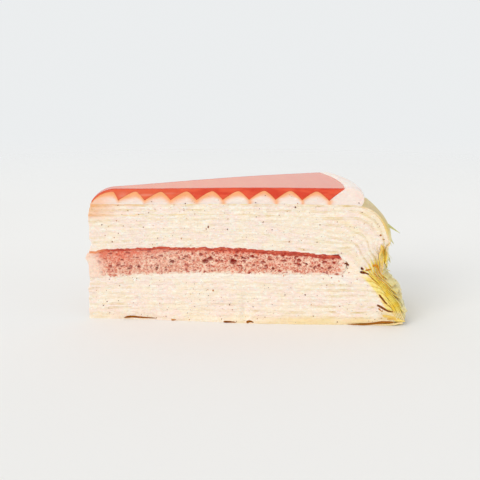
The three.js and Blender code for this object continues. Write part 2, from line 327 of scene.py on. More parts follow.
def crepeLines(g):
    # the underside and top of crepe g, with as many stations in each
    if g in crepeStore:
        return crepeStore[g]
    middle = float(crepeLevel(g, 5)) + cake["crepeThickness"] / 2
    start = cake["tipRadius"] if g == 1 else tipStart(middle, g)
    radii = numpy.linspace(start, cake["bendStart"], flatCount)
    bendPoints, hangingPoints = crepeParts(g)
    hang = roundOff(hangingPoints, hangCount)
    flat = lineOf(radii, crepeLevel(g, radii) + wander(g, radii))
    under = numpy.vstack([extended(flat, bendPoints, bendCount), hang[1:]])
    thickness = numpy.full(len(under), cake["crepeThickness"])
    gathered = flatCount + bendCount - 2
    if g == 1:
        hanging = numpy.full(hangCount - 1, hem["footThickness"])
    else:  # the edges lie close on each other, and thin out at their hems
        run = numpy.gradient(hang, axis=0)
        steep = numpy.abs(run[:, 1]) / numpy.linalg.norm(run, axis=1)
        room = 0.9 * hem["pitch"] * steep + 0.45 * (1 - steep) ** 2
        thinning, thinnest = (0.06, 0.36) if g <= lowerTop else (0.25, 0.16)
        hanging = numpy.maximum(room[1:] * numpy.linspace(1, 0, hangCount - 1) ** thinning, thinnest)
    thickness[flatCount:gathered + 1] = numpy.linspace(cake["crepeThickness"], hanging[0], bendCount - 1)
    thickness[gathered + 1:] = hanging
    crepeStore[g] = {"under": under, "over": nudge(under, thickness[:, None]), "gathered": gathered}
    return crepeStore[g]


# what bends every layer alike
cutLook = {
    "bulge": 0.6,
    "broad": 0.2,  # slow swells of the cut
    "fine": 0.09,  # small lumps left by the knife
    "streaks": 0.07,  # and the streaks it dragged along the cut
    "sag": 0.3,
    "squeeze": 1.1,  # how far the knife has pressed the rim in beside each cut
    "shoulderLift": 1.6,  # how far the shoulder stands up again between the cuts
    "swells": [(36, 9, 0.6), (16, 6, 2.4), (7, 5, 1.2)],  # height, reach and size of the rim's swells
    "slump": 1.3,  # the middle crepes sink before they turn down
    "folds": 0.32,  # rounded folds across the bend
    "foot": 0.3,  # cream dragged along the foot of the cut
    "footOut": 1.2,  # how far the foot spreads in the middle of the cut
    "tipHeight": 0.99, "rimHeight": 1.014,  # the stack has sunk a little more at the point
    # r, z, wide, high and deep
    "dents": [(60.6, 4.5, 1.2, 5.0, 0.7), (23, 0.8, 9, 0.9, 0.4), (63, 9, 2.5, 3, 0.25)],
}
bendCentre = (88, 8)


def bendRing(r, z):
    # how far out in the bend a place lies, and how far round it
    out, up = r - bendCentre[0], z - bendCentre[1]
    return numpy.hypot(out, up), numpy.arctan2(up, out)


def relief(r, z, side):
    swell = softNoise(r / 6.5, z / 2.4, side * 3, 1) + 0.7 * softNoise(r / 2.6, z / 1.3, side * 5, 2)
    ring, turn = bendRing(r, z)
    fold = softNoise(ring / 1.4, turn * 4, side, 52) * ease(88, 99, r) * ease(19, 24, z) * fade(43, 46, z)
    total = (cutLook["broad"] * swell + cutLook["fine"] * softNoise(r / 0.9, z / 0.55, side * 7, 3)
             + cutLook["streaks"] * softNoise(r / 2.8, z / 0.45, side * 11, 59)
             + cutLook["foot"] * softNoise(r / 3.3, 0.5, side, 10) * hill(z, 0, 1.3)
             + cutLook["footOut"] * hill(z, 0, 1.5) * hill(r, 65, 28) + cutLook["folds"] * fold)
    for dent in cutLook["dents"] if side < 0 else []:
        total = total - mound(r, z, *dent)
    return total * (0.2 + 0.8 * ease(2, 12, r))


def bulge(r):
    along = numpy.minimum(r, cake["skirtRadius"]) / cake["skirtRadius"]
    return cutLook["bulge"] * numpy.sin(math.pi * along) + cake["tipBlunt"] * numpy.exp(-r / 3)


def settle(r, angle, z):
    # the stack has sagged unevenly; the table below and the set jelly above stay level
    y = r * angle
    hold = ease(0, 2.5, z) * fade(43.5, 46, z)
    down = cutLook["sag"] * softNoise(r / 12, y / 12, z / 8, 5) + 0.16 * softNoise(r / 4.2, y / 6, z / 2.8, 6)
    aside = 0.25 * softNoise(r / 8, y / 8, z / 4, 7) * hold
    down = down - cutLook["slump"] * hill(r, 96, 7) * hill(z, 35, 5)
    fromCut = (halfAngle - numpy.abs(angle)) * r
    press = cutLook["squeeze"] * ease(97, 112, r) * ease(0, 3, z)
    rise = cutLook["shoulderLift"] * hill(r, 105.5, 3.8) * ease(34, 42, z) * fade(45.5, 48, z)
    rise = rise * ease(0.8, 6, fromCut)
    height = blendTo(cutLook["tipHeight"], cutLook["rimHeight"], ease(5, 75, r))
    swell = sum(size * hill(z, level, reach) for level, reach, size in cutLook["swells"])
    swell = swell * ease(1.5, 8, fromCut) * ease(103, 111, r)
    return r + aside - press * hill(fromCut, 0, 3.6) + swell, (z + down * hold + rise) * height


def toPlace(r, angle, z, out):
    r, z = settle(r, angle, z)
    x = r * numpy.cos(angle) - out * numpy.sin(angle)
    y = r * numpy.sin(angle) + out * numpy.cos(angle)
    return numpy.stack([x + cake["axisX"], y, z], axis=-1) / 1000


class Weld:
    # gathers patches of points, and joins those that lie on one another
    def __init__(self, labels):
        self.labels = labels
        self.points, self.faces, self.kinds, self.marks = [], [], [], []
        self.count = 0

    def patch(self, grid, kind, flip=False, marks=None):
        rows, columns = grid.shape[:2]
        number = numpy.arange(rows * columns).reshape(rows, columns) + self.count
        self.points.append(grid.reshape(-1, 3))
        blank = numpy.zeros((rows * columns, len(self.labels)))
        self.marks.append(blank if marks is None else marks.reshape(rows * columns, -1))
        self.count += rows * columns
        corners = [number[:-1, :-1], number[1:, :-1], number[1:, 1:], number[:-1, 1:]]
        quads = numpy.stack(corners, axis=-1).reshape(-1, 4)
        self.faces += (quads[:, ::-1] if flip else quads).tolist()
        self.kinds += [kind] * len(quads)
        return number

    def face(self, corners, kind, flip):
        self.faces.append(corners[::-1] if flip else corners)
        self.kinds.append(kind)

    def mesh(self, name):
        points, marks = numpy.vstack(self.points), numpy.vstack(self.marks)
        keys = numpy.round(points * 1e7).astype(numpy.int64)
        unique, first, place = numpy.unique(keys, axis=0, return_index=True, return_inverse=True)
        place = place.reshape(-1)
        merged = numpy.zeros((len(unique), marks.shape[1]))
        numpy.maximum.at(merged, place, marks)
        place = place.tolist()
        faces, kinds = [], []
        for corners, kind in zip(self.faces, self.kinds):
            kept = list(dict.fromkeys(place[corner] for corner in corners))
            if len(kept) > 2:
                faces.append(kept)
                kinds.append(kind)
        mesh = bpy.data.meshes.new(name)
        mesh.from_pydata(points[first].tolist(), [], faces)
        mesh.polygons.foreach_set("material_index", kinds)
        for index, label in enumerate(self.labels):
            writeMark(mesh, label, merged[:, index])
        mesh.shade_smooth()
        mesh.set_sharp_from_angle(angle=math.radians(48))
        mesh.update()
        return mesh


def finishPiece(piece, slot, *nodes):
    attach(piece, "root")
    if nodes:
        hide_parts(*nodes)


def buildLayer(node, slot, section, arcFrom, columns, levels, proud, marksFor, lift=None, pits=None):
    # A layer between two section lines, swept from one cut to the other. Up to station arcFrom
    # it is flat and hidden between its neighbours, so it needs no steps across.
    under, over = section
    angles = numpy.linspace(-halfAngle, halfAngle, columns + 1)
    cuts = ((-1, -halfAngle), (1, halfAngle))
    every = numpy.arange(len(under))
    shares = [level / levels for level in range(levels + 1)]
    weld = Weld(layerMarks[slot])

    def between(share, stations):
        return (under + (over - under) * share)[stations]

    def position(share, stations, angle, side):
        r, z, angle = numpy.broadcast_arrays(*between(share, stations).T, angle)
        if lift:
            angle, r, z = lift(stations, angle, r, z)
        if not side:
            return toPlace(r, angle, z, 0.0)
        extra = proud(r, z, share, side)
        if pits and 0 < share < 1:
            extra = extra - pits(r, z, side)[0]
        return toPlace(r, angle, z, side * (bulge(r) + relief(r, z, side) + extra))

    def marked(share, stations, angle, side):
        line = between(share, stations)
        shown = marksFor(line, share, side, angle, stations)
        if not pits:
            return shown
        paintedShade = pits(*line.T, side)[1] if side and 0 < share < 1 else numpy.zeros(len(line))
        return numpy.column_stack([shown, paintedShade])

    def acrossGapShade(share, stations, turns):
        # the same stations at every angle, and on the cuts where the angles end there
        grid = position(share, stations, turns[:, None], 0)
        for row in (0, -1):
            grid[row] = position(share, stations, turns[row], numpy.sign(turns[row]))
        return grid

    for side, angle in cuts:
        rows = numpy.stack([position(share, every, angle, side) for share in shares])
        marks = numpy.stack([marked(share, every, angle, side) for share in shares])
        weld.patch(rows, 0, side > 0, marks)
    flat, rim = every[:arcFrom], every[arcFrom:]
    for share, flip in ((0.0, False), (1.0, True)):
        marks = numpy.stack([marked(share, rim, angle, 0) for angle in angles])
        numbers = weld.patch(acrossGapShade(share, rim, angles), 1, flip, marks)
        if arcFrom:  # one wide strip over the hidden flat part
            edges = numpy.stack([position(share, flat, angle, side) for side, angle in cuts])
            strip = weld.patch(edges, 1, flip)
            weld.face(strip[:, -1].tolist() + numbers[::-1, 0].tolist(), 1, not flip)
    tipAngles = angles[[0, -1]] if arcFrom else angles
    for stations, turns, kind, flip in ((every[-1:], angles, 1, False), (every[:1], tipAngles, 0, True)):
        grid = numpy.stack([acrossGapShade(share, stations, turns)[:, 0] for share in shares])
        sides = numpy.sign(turns)
        sides[1:-1] = 0
        marks = [[marked(share, stations, *turn)[0] for turn in zip(turns, sides)] for share in shares]
        weld.patch(grid, kind, flip, numpy.array(marks))
    piece = addObject("look_" + node, weld.mesh("look_" + node))
    for name in layerFinishes[slot]:
        piece.data.materials.append(finishes[name])
    finishPiece(piece, slot, node)


class Wire:
    # a value in a node tree: sums on it become Math nodes
    def __init__(self, tree, socket):
        self.tree, self.socket = tree, socket

    def math(self, operation, first, second):
        return self.tree.node("ShaderNodeMath", {"operation": operation}, {0: first, 1: second})

    def __add__(self, other):
        return self.math("ADD", self, other)

    def __sub__(self, other):
        return self.math("SUBTRACT", self, other)

    def __rsub__(self, other):
        return self.math("SUBTRACT", other, self)

    def __mul__(self, other):
        return self.math("MULTIPLY", self, other)

    def __pow__(self, other):
        return self.math("POWER", self, other)

    __radd__ = __add__
    __rmul__ = __mul__

    def between(self, low, high):  # 0 below low, 1 above high
        return self.tree.node("ShaderNodeMapRange", {"interpolation_type": "SMOOTHSTEP"},
                              {"Value": self, "From Min": low, "From Max": high})


class NodeTree:
    def node(self, kind, settings=None, sockets=None, out=0):
        node = self.tree.nodes.new(kind)
        for key, value in (settings or {}).items():
            setattr(node, key, value)
        for key, value in (sockets or {}).items():
            if isinstance(value, Wire):
                self.tree.links.new(value.socket, node.inputs[key])
            else:
                node.inputs[key].default_value = value
        return Wire(self, node.outputs[out]) if out is not None else node


class Finish(NodeTree):
    def __init__(self, name):
        self.material = bpy.data.materials.new(name)
        self.material.use_nodes = True
        self.tree = self.material.node_tree
        self.tree.nodes.clear()
        self.where = self.node("ShaderNodeTexCoord", out="Object")

    def place(self, stretch, shift):
        # object coordinates, counted in steps of stretch millimetres
        scale = tuple(1000 / step for step in stretch)
        sockets = {"Vector": self.where, "Scale": scale, "Location": shift}
        return self.node("ShaderNodeMapping", None, sockets)

    def noise(self, stretch, detail=2, roughness=0.5, shift=(0, 0, 0)):
        sockets = {"Vector": self.place(stretch, shift), "Scale": 1, "Detail": detail, "Roughness": roughness}
        return self.node("ShaderNodeTexNoise", None, sockets)

    def patches(self, low, high, *noise):  # the places where a noise is above low
        return self.noise(*noise).between(low, high)

    def cells(self, low, high, stretch, shift=(0, 0, 0), feature="F1"):  # 0 in the middle of each cell
        sockets = {"Vector": self.place(stretch, shift), "Scale": 1}
        return self.node("ShaderNodeTexVoronoi", {"feature": feature}, sockets, "Distance").between(low, high)

    def mark(self, label):
        return self.node("ShaderNodeAttribute", {"attribute_name": label}, out="Fac")

    def paint(self, tone, *layers):
        # one colour over another: each layer is a colour and the share of it that shows
        for over, share in layers:
            sockets = {0: share, 6: colour(tone), 7: colour(over)}
            tone = self.node("ShaderNodeMix", {"data_type": "RGBA"}, sockets, 2)
        return tone

    def bump(self, height, distance, strength):
        sockets = {"Height": height, "Distance": distance / 1000, "Strength": strength}
        return self.node("ShaderNodeBump", None, sockets)

    def finish(self, tone, roughness, bumps=None, body=None):
        sockets = {"Base Color": tone, "Roughness": roughness, **(body or {})}
        if bumps:
            sockets["Normal"] = bumps
        return self.close(self.node("ShaderNodeBsdfPrincipled", None, sockets, "BSDF"))

    def close(self, shader):
        self.node("ShaderNodeOutputMaterial", None, {"Surface": shader}, None)
        return self.material


tones = {  # from the 0 to 255 of a screen
    "cream": (255, 234, 211), "creamPink": (255, 229, 214), "creamPale": (255, 244, 227),
    "butter": (248, 226, 180), "creamFleckHighlight": (255, 251, 243), "creamFleckShade": (238, 208, 178),
    "creamDragged": (218, 194, 156), "tintPale": (255, 243, 230), "tintGold": (245, 214, 148),
    "tintOrange": (245, 172, 112), "edge": (255, 229, 112), "edgeDeep": (250, 208, 66),
    "edgeGrooveShade": (218, 160, 40), "edgeBrowned": (138, 64, 18),
    "crepe": (240, 212, 158), "crepeDark": (220, 184, 126), "crepeHoleShade": (208, 168, 108),
    "skin": (246, 232, 180), "skinCloud": (236, 216, 150), "skinLace": (222, 186, 116),
    "skinFreckle": (200, 146, 80), "skinOliveShade": (210, 186, 146), "skinGold": (234, 202, 96),
    "skinBrowned": (150, 92, 40),
    "crumb": (248, 206, 180), "crumbPink": (222, 138, 112), "crumbThreadHighlight": (254, 222, 198),
    "crumbRed": (194, 66, 46), "crumbHoleShade": (176, 64, 48), "crumbSoaked": (228, 88, 50),
    "bandDark": (166, 44, 32), "bandLight": (206, 84, 62), "poreShade": (150, 16, 8),
    "crumbSmeared": (252, 226, 206),
    "jam": (208, 80, 48), "jamDark": (180, 52, 32), "jamPale": (228, 130, 92),
    "jamOrange": (240, 150, 100),
    "jelly": (216, 62, 32), "jellyStreak": (230, 84, 50), "jellyShallow": (240, 128, 84),
    "jellyGleam": (238, 150, 124), "jellyDeep": (202, 52, 28), "jellyTop": (234, 90, 44),
    "jellyTopThinAndSheen": (248, 140, 86), "jellyTopStreak": (236, 124, 84), "jellyTopDeep": (212, 72, 42),
    "topping": (243, 227, 215), "toppingShade": (242, 221, 209), "toppingLight": (255, 242, 230),
    "bleed": (250, 166, 102), "toppingSkin": (250, 236, 226), "toppingSkinShade": (248, 226, 214),
    "speck": (104, 38, 14), "speckLight": (192, 124, 62), "loose": (150, 52, 40),
    "looseLight": (226, 140, 112), "shred": (208, 206, 144), "shredLight": (232, 228, 184),
    "curl": (242, 214, 118), "curlToasted": (206, 130, 24), "curlBurnt": (88, 22, 0),
    "curlFlecked": (214, 130, 30),
    "floor": (241, 239, 236), "floorShade": (238, 236, 233),
}
softFood = {"Specular IOR Level": 0.25, "Subsurface Weight": 0.2,
            "Subsurface Radius": (1.0, 0.6, 0.4), "Subsurface Scale": 0.0012}
wetFruit = {"Subsurface Weight": 0.2, "Subsurface Radius": (1.0, 0.3, 0.2), "Subsurface Scale": 0.0015}
# line is, on a cut, a crepe's own tan with painted shade of the gaps beside it and of the grooves between
# bare strands, and on the skin the painted shade of the shoulder
stackMarks = ("bare", "brown", "line", "warm", "gold", "pale")
layerMarks = {
    "crepe": stackMarks, "cream": stackMarks, "sponge": ("soak", "band", "smear", "poreShade"),
    "jam": ("warm",), "topping": ("bleed",), "jelly": ("shallowAndSheen", "gleam", "deep"),
}
layerFinishes = {  # on the cuts, and between them
    "crepe": ("crepeCut", "crepeSkin"), "cream": ("creamCut", "creamCut"),
    "sponge": ("spongeCrumb", "spongeCrumb"), "jam": ("jamRed", "jamRed"),
    "topping": ("toppingCut", "toppingSkin"), "jelly": ("jellyCut", "jellyTop"),
}


def colour(tone):  # a socket as it is, or a named tone as a shader counts it
    if isinstance(tone, Wire):
        return tone
    parts = [value / 255 for value in tones[tone]]
    parts = [part / 12.92 if part <= 0.04045 else ((part + 0.055) / 1.055) ** 2.4 for part in parts]
    return (*parts, 1.0)


def creamTone(f):
    litAndShadedFleck = f.noise((0.75, 0.75, 0.55), 2, 0.6, (5, 2, 8))
    dragged = f.patches(0.57, 0.67, (3.4, 3.4, 0.46), 3, 0.6, (1, 5, 2))
    inPlaces = f.patches(0.36, 0.56, (9, 9, 3), 2, 0.5, (8, 8, 3))
    return f.paint(
        "cream",
        ("creamPink", f.patches(0.42, 0.58, (7, 7, 4))),
        ("creamPale", f.patches(0.5, 0.66, (2.2, 2.2, 1.5), 3, 0.6, (3, 1, 2)) * 0.85),
        ("butter", f.patches(0.54, 0.7, (2.6, 2.6, 1.0), 3, 0.65, (7, 3, 1)) * 0.5),
        # painted highlights and painted shade in small flecks over the cream
        ("creamFleckHighlight", litAndShadedFleck.between(0.58, 0.68) * 0.75),
        ("creamFleckShade", (1 - litAndShadedFleck.between(0.32, 0.42)) * 0.4),
        ("creamDragged", dragged * inPlaces * 0.34))


def tinted(f, base):  # what has soaked or browned in from the neighbours
    return f.paint(base, ("tintPale", f.mark("pale") * 0.7), ("tintGold", f.mark("gold") * 0.8),
                   ("tintOrange", f.mark("warm")))


def goldEdge(f):
    return f.paint("edge", ("edgeDeep", f.patches(0.4, 0.65, (1.5, 1.5, 2.2))))


def creamBumps(f):
    lumps = f.noise((0.8, 0.8, 0.4), 3, 0.6) * 0.6 + f.noise((2.6, 2.6, 0.7)) * 0.8
    return f.bump(lumps + f.cells(0.0, 0.3, (0.9, 0.9, 0.6), (1, 4, 2)) * 0.5, 0.34, 0.9)


def creamCutFinish(f):
    tone = f.paint(tinted(f, creamTone(f)), (goldEdge(f), f.mark("bare")))
    return f.finish(tone, 0.5, creamBumps(f), softFood)


def crepeCutFinish(f):
    # painted shade in small pits over the crepe's cut edge
    shadedHoles = 1 - f.cells(0.12, 0.3, (0.75, 0.75, 0.5), (2, 2, 5))
    crumb = f.paint(
        "crepe",
        ("crepeDark", f.patches(0.4, 0.66, (2.4, 2.4, 0.5), 3, 0.7)),
        ("crepeHoleShade", shadedHoles * f.patches(0.5, 0.6, (4, 4, 1.5), 2, 0.5, (9, 1, 1)) * 0.7))
    broken = f.patches(0.36, 0.6, (3.2, 3.2, 0.6), 3, 0.65, (2, 8, 4))
    tone = tinted(f, f.paint(creamTone(f), (crumb, f.mark("line") * (broken * 0.75 + 0.25))))
    # the bare strands, with painted shade in the grooves between them
    strand = f.paint(goldEdge(f), ("edgeGrooveShade", f.mark("line")))
    tone = f.paint(tone, (strand, f.mark("bare")), ("edgeBrowned", f.mark("brown")))
    return f.finish(tone, 0.55, creamBumps(f), softFood)


def crepeSkinFinish(f):
    lace = 1 - f.cells(0.02, 0.16, (2.1, 2.1, 2.1), feature="DISTANCE_TO_EDGE")
    skin = f.paint(
        "skin",
        ("skinCloud", f.patches(0.38, 0.62, (7, 7, 7), 4, 0.6)),
        ("skinLace", lace * f.patches(0.46, 0.66, (5, 5, 5), 2, 0.5, (4, 4, 1)) * 0.45),
        ("skinFreckle", f.patches(0.62, 0.72, (1.1, 1.1, 1.1), 2, 0.6, (6, 1, 9)) * 0.35),
        # painted shade on the top crepe's shoulder
        ("skinOliveShade", f.mark("line") * 0.9),
        ("skinGold", f.mark("gold") * 0.85),
        ("skinBrowned", f.mark("brown")))
    bumps = f.noise((0.9, 0.9, 0.9), 3, 0.6) + lace * -0.4
    return f.finish(skin, 0.5, f.bump(bumps, 0.14, 0.6), softFood)


def spongeFinish(f):
    # the threads of crumb between the holes get a painted highlight
    litThreads = 1 - f.cells(0.02, 0.14, (0.9, 0.9, 0.75), (1, 2, 3), "DISTANCE_TO_EDGE")
    # painted shade in the small holes of the crumb
    shadedHoles = 1 - f.cells(0.12, 0.3, (0.7, 0.7, 0.5), (8, 1, 3))
    band = f.paint("bandDark", ("bandLight", f.patches(0.38, 0.6, (0.9, 0.9, 0.6), 3, 0.65, (1, 7, 4))))
    crumb = f.paint(
        "crumb",
        ("crumbPink", f.patches(0.4, 0.6, (1.3, 1.3, 1.1), 4, 0.7)),
        ("crumbThreadHighlight", litThreads * f.patches(0.4, 0.6, (1.7, 1.7, 1.4), 2, 0.5, (3, 3, 3))),
        ("crumbRed", f.patches(0.52, 0.62, (0.8, 0.8, 0.6), 3, 0.7, (6, 2, 9)) * 0.85),
        ("crumbHoleShade", shadedHoles * f.patches(0.48, 0.6, (1.3, 1.3, 1.1), 2, 0.6, (5, 5, 5)) * 0.85),
        ("crumbSoaked", f.mark("soak")),
        (band, f.mark("band")),
        # painted shade inside the pores, in dark red
        ("poreShade", f.mark("poreShade")),
        ("crumbSmeared", f.mark("smear")))
    bumps = f.noise((0.5, 0.5, 0.5), 3, 0.7) - shadedHoles * 0.4
    return f.finish(crumb, 0.75, f.bump(bumps, 0.3, 0.8), {"Specular IOR Level": 0.15, **wetFruit})


def jamFinish(f):
    red = f.paint(
        "jam",
        ("jamDark", f.patches(0.4, 0.6, (2.4, 2.4, 0.9), 3, 0.6)),
        ("jamPale", f.patches(0.56, 0.68, (1.2, 1.2, 0.6), 2, 0.5, (2, 2, 6))),
        ("jamOrange", f.mark("warm")))
    return f.finish(red, 0.3, f.bump(f.noise((0.8, 0.8, 0.5), 3), 0.25, 0.7), wetFruit)


def jellyCutFinish(f):
    red = f.paint(
        "jelly",
        ("jellyStreak", f.patches(0.4, 0.6, (9, 9, 2.2))),
        ("jellyShallow", f.mark("shallowAndSheen")),
        ("jellyGleam", f.mark("gleam")),
        ("jellyDeep", f.mark("deep")))
    return f.finish(red, 0.16, None, {"Specular IOR Level": 0.35, **wetFruit})


def jellyTopFinish(f):
    red = f.paint(
        "jellyTop",
        # lighter where the jelly is thin, and a painted sheen over the whole top
        ("jellyTopThinAndSheen", f.mark("shallowAndSheen")),
        ("jellyTopStreak", f.patches(0.42, 0.62, (30, 30, 6), 3, 0.6) * 0.4),
        ("jellyTopDeep", f.mark("deep")))
    return f.finish(red, 0.14, f.bump(f.noise((9, 9, 9)), 0.12, 0.3), wetFruit)


def toppingCutFinish(f):
    base = f.paint(
        "topping",
        ("toppingShade", f.patches(0.4, 0.62, (5, 5, 2), 3)),
        ("toppingLight", f.patches(0.55, 0.7, (1.6, 1.6, 0.8), 3, 0.6, (4, 1, 1)) * 0.7),
        ("bleed", f.mark("bleed")))
    return f.finish(base, 0.45, f.bump(f.noise((0.9, 0.9, 0.5), 3, 0.6), 0.2, 0.6), softFood)


def toppingSkinFinish(f):
    base = f.paint("toppingSkin", ("toppingSkinShade", f.patches(0.4, 0.62, (5, 5, 5))))
    return f.finish(base, 0.42, f.bump(f.noise((1.6, 1.6, 1.6)), 0.12, 0.4), softFood)


def grainFinish(tone, step):
    def make(f):
        mottled = f.paint(tone, (tone + "Light", f.patches(0.42, 0.62, (step, step, step), 1)))
        return f.finish(mottled, 0.6, None, {"Specular IOR Level": 0.1})
    return make


def curlFinish(f):
    toasted = f.mark("toasted")
    tone = f.paint(
        "curl",
        ("curlToasted", toasted.between(0.05, 0.45)),
        ("curlBurnt", toasted.between(0.5, 0.9)),
        ("curlFlecked", f.patches(0.5, 0.66, (0.7, 0.7, 0.5)) * 0.4))
    return f.finish(tone, 0.6, None, {"Specular IOR Level": 0.15})


finishes = {name: make(Finish(name)) for name, make in (
    ("creamCut", creamCutFinish), ("crepeCut", crepeCutFinish), ("crepeSkin", crepeSkinFinish),
    ("spongeCrumb", spongeFinish), ("jamRed", jamFinish),
    ("jellyCut", jellyCutFinish), ("jellyTop", jellyTopFinish),
    ("toppingCut", toppingCutFinish), ("toppingSkin", toppingSkinFinish),
    ("vanillaSpeck", grainFinish("speck", 1.6)), ("spongeCrumbs", grainFinish("loose", 2.0)),
    ("crepeShred", grainFinish("shred", 3.0)), ("brownedCurl", curlFinish),
)}
print("finishes made")


# tints shared by crepes and cream
tintLook = {
    # r, z, wide, high and how warm
    "tipWarmth": [(1, 44.7, 10, 1.3, 1.0), (0, 41.1, 9, 0.9, 0.9), (2, 43, 9, 3.2, 0.62),
                  (8, 45.2, 16, 0.7, 0.6)],
    "goldBelow": 3.6,
    "foldGold": 0.45,
    "paleUnderSponge": 0.8,
}


def tints(r, z):
    # warm, gold and pale at a place of the cut
    warm = highest(numpy.zeros(r.shape), *(mound(r, z, *spot) for spot in tintLook["tipWarmth"]))
    low = fade(1.6, tintLook["goldBelow"], z)
    foot = low * (0.15 + 0.85 * ease(45, 85, r)) * (0.8 + 0.4 * softNoise(r / 7, 0.5, 0, 23))
    ring, turn = bendRing(r, z)
    folded = numpy.clip(softNoise(ring / 1.1, turn * 4, 0, 53) + 0.1, 0, 1) * ease(86, 98, r)
    folded = folded * ease(20, 25, z)
    gold = highest(foot, 0.75 * ease(111, 114.5, r) * fade(4.5, 6.5, z), tintLook["foldGold"] * folded)
    under = spongeUnder(r) - z
    pale = ease(-0.5, 0.3, under) * fade(1.0, 3.2, under) * (0.7 + 0.5 * softNoise(r / 6, 0.5, 0, 24))
    pale = pale * ease(14, 30, r) * fade(96, 104, r)
    return [numpy.clip(part, 0, 1) for part in (warm, gold, pale * tintLook["paleUnderSponge"])]


# crepes
crepeLook = {
    "levels": 3,  # steps up through a crepe's cut edge
    "proud": 0.05,  # a crepe's cut edge stands out from the cream
    "strand": 0.35,  # and so do the hanging edges, unevenly
    "toneUpper": [0.7, 0.6, 0.55, 0.5, 0.55, 0.7, 0.9, 0.9, 1.0],  # how plainly each crepe shows
    "toneLower": [1.0, 0.85, 1.0, 0.9, 0.7, 0.6, 0.6, 0.65, 0.6],
    "lace": {15: 0.5, 16: 0.95, 17: 0.7, 18: 1.3},  # the yellow of the uppermost crepes' edges
    "bareFrom": {14: 0.6, 15: 2.0, 16: 3.2, 17: 4.0, 18: 3.2},  # how far past the gather cream covers it
    "blade": (113.0, 26.2, 1.1, 4.2),  # r, z, half the width and height of a bare fold above the gather
    "bladeAbove": 12,  # the crepe under that fold
}


def hangs(r, z):  # 1 over the hanging edges at a cut
    return ease(-1, 0.4, r - slopeAt(z)) * fade(18, 20, z) * ease(0.8, 2.5, z)


def strands(r, z):  # 1 from where the lower edges gather, a little before they turn down
    return ease(-0.6, 0.4, r - slopeAt(z) + 0.5 + 0.13 * z) * fade(18, 20, z) * ease(4, 6, z)


def blade(g, r, z, side):  # a bare fold of crepe that shows in the cream of the near cut
    middle, level, halfWidth, halfHeight = crepeLook["blade"]
    wide = halfWidth * numpy.clip(1 - ((z - level) / halfHeight) ** 2, 0, 1)
    off = numpy.abs(r - middle + 0.08 * (z - level))
    shows = side < 0 and g > crepeLook["bladeAbove"]
    return ease(-0.3, 0.1, wide - off) * ease(0.05, 0.3, wide) * shows


def edgeSwell(share):  # nothing at a layer's two faces, most between them
    return math.sin(math.pi * min(max(share, 0.0), 1.0))


def crepeProud(g):
    def proud(r, z, share, side):
        strand = crepeLook["strand"] * (0.3 + softNoise(g * 2.3, z / 5, side, 46)) * hangs(r, z)
        return edgeSwell(share) * (crepeLook["proud"] * softNoise(r / 4.5, g * 2.3, side, 9) + strand)
    return proud


def alongHang(g, line):
    # distance along a line from where crepe g starts to hang, and how far it hangs
    steps = numpy.linalg.norm(numpy.diff(line, axis=0), axis=1)
    own = crepeLines(g)
    crepeSteps = numpy.linalg.norm(numpy.diff(own["under"], axis=0), axis=1)
    bend = crepeSteps[flatCount - 1:own["gathered"]].sum()
    hang = crepeSteps[own["gathered"]:].sum()
    along = numpy.concatenate([[0], numpy.cumsum(steps)]) - steps[:flatCount - 1].sum() - bend
    return along, hang


def gatherIn(g, share, angle, z, r):
    # the hanging edges shrink back behind the cuts, and wave together
    back = hem["setBack"] * ease(10, 18, g) * (1 - 0.6 * ease(14.5, 17, g))
    shrink = back * ease(-0.25, 0.55, share) * (1 + 0.35 * softNoise(g * 3.3, z / 5, 0, 11))
    wave = softNoise(angle * cake["rimArc"] / 5.5, z / 14, 0, 14)
    pleat = hem["pleat"] * wave * ease(-0.2, 0.6, share) * ease(1.0, 6, z)
    return angle * (1 - shrink / r / halfAngle), pleat


def crepeLift(g):
    # the hanging edge waves, ends unevenly, and lifts outwards over its last stretch
    line = crepeLines(g)["under"]
    along, length = alongHang(g, line)
    normals = lineNormals(line)

    def lift(stations, angle, r, z):
        s = along[stations]
        down = numpy.clip(s / length, 0, 1)
        arc = angle * cake["rimArc"]
        if g == 1:
            ragged = 0.8 * softNoise(arc / 5, 1.5, 0, 12) * ease(0, 1, down)
            rise = 0.36 * ease(0.5, 1, down) * (1 + 0.6 * softNoise(arc / 4, 3, 0, 13))
            return angle, r + ragged - 0.4 * ease(0, 1, down), z + rise
        angle, pleat = gatherIn(g, s / length, angle, z, r)
        own = 0.06 * softNoise(arc / 2.4, g * 3.7, s / 4, 15) * down
        tears = softNoise(arc / 3.4, g * 2.9, 0, 17) + 0.6 * softNoise(arc / 1.1, g * 2.9, 0, 18)
        short = hem["ragged"] * tears * ease(0.3, 1, down)
        out = pleat + own
        if g <= lowerTop:
            short = numpy.maximum(short, 0) * 0.6
        else:
            lifted = numpy.clip(0.18 + softNoise(arc / 4.2, g * 5.3, 0, 16), -0.1, 1)
            out = out + hem["flare"] * lifted * ease(length - 2.8, length, s)
        normal = normals[stations]
        return (angle, r + normal[..., 0] * out - normal[..., 1] * short,
                z + normal[..., 1] * out + normal[..., 0] * short)
    return lift, along, length


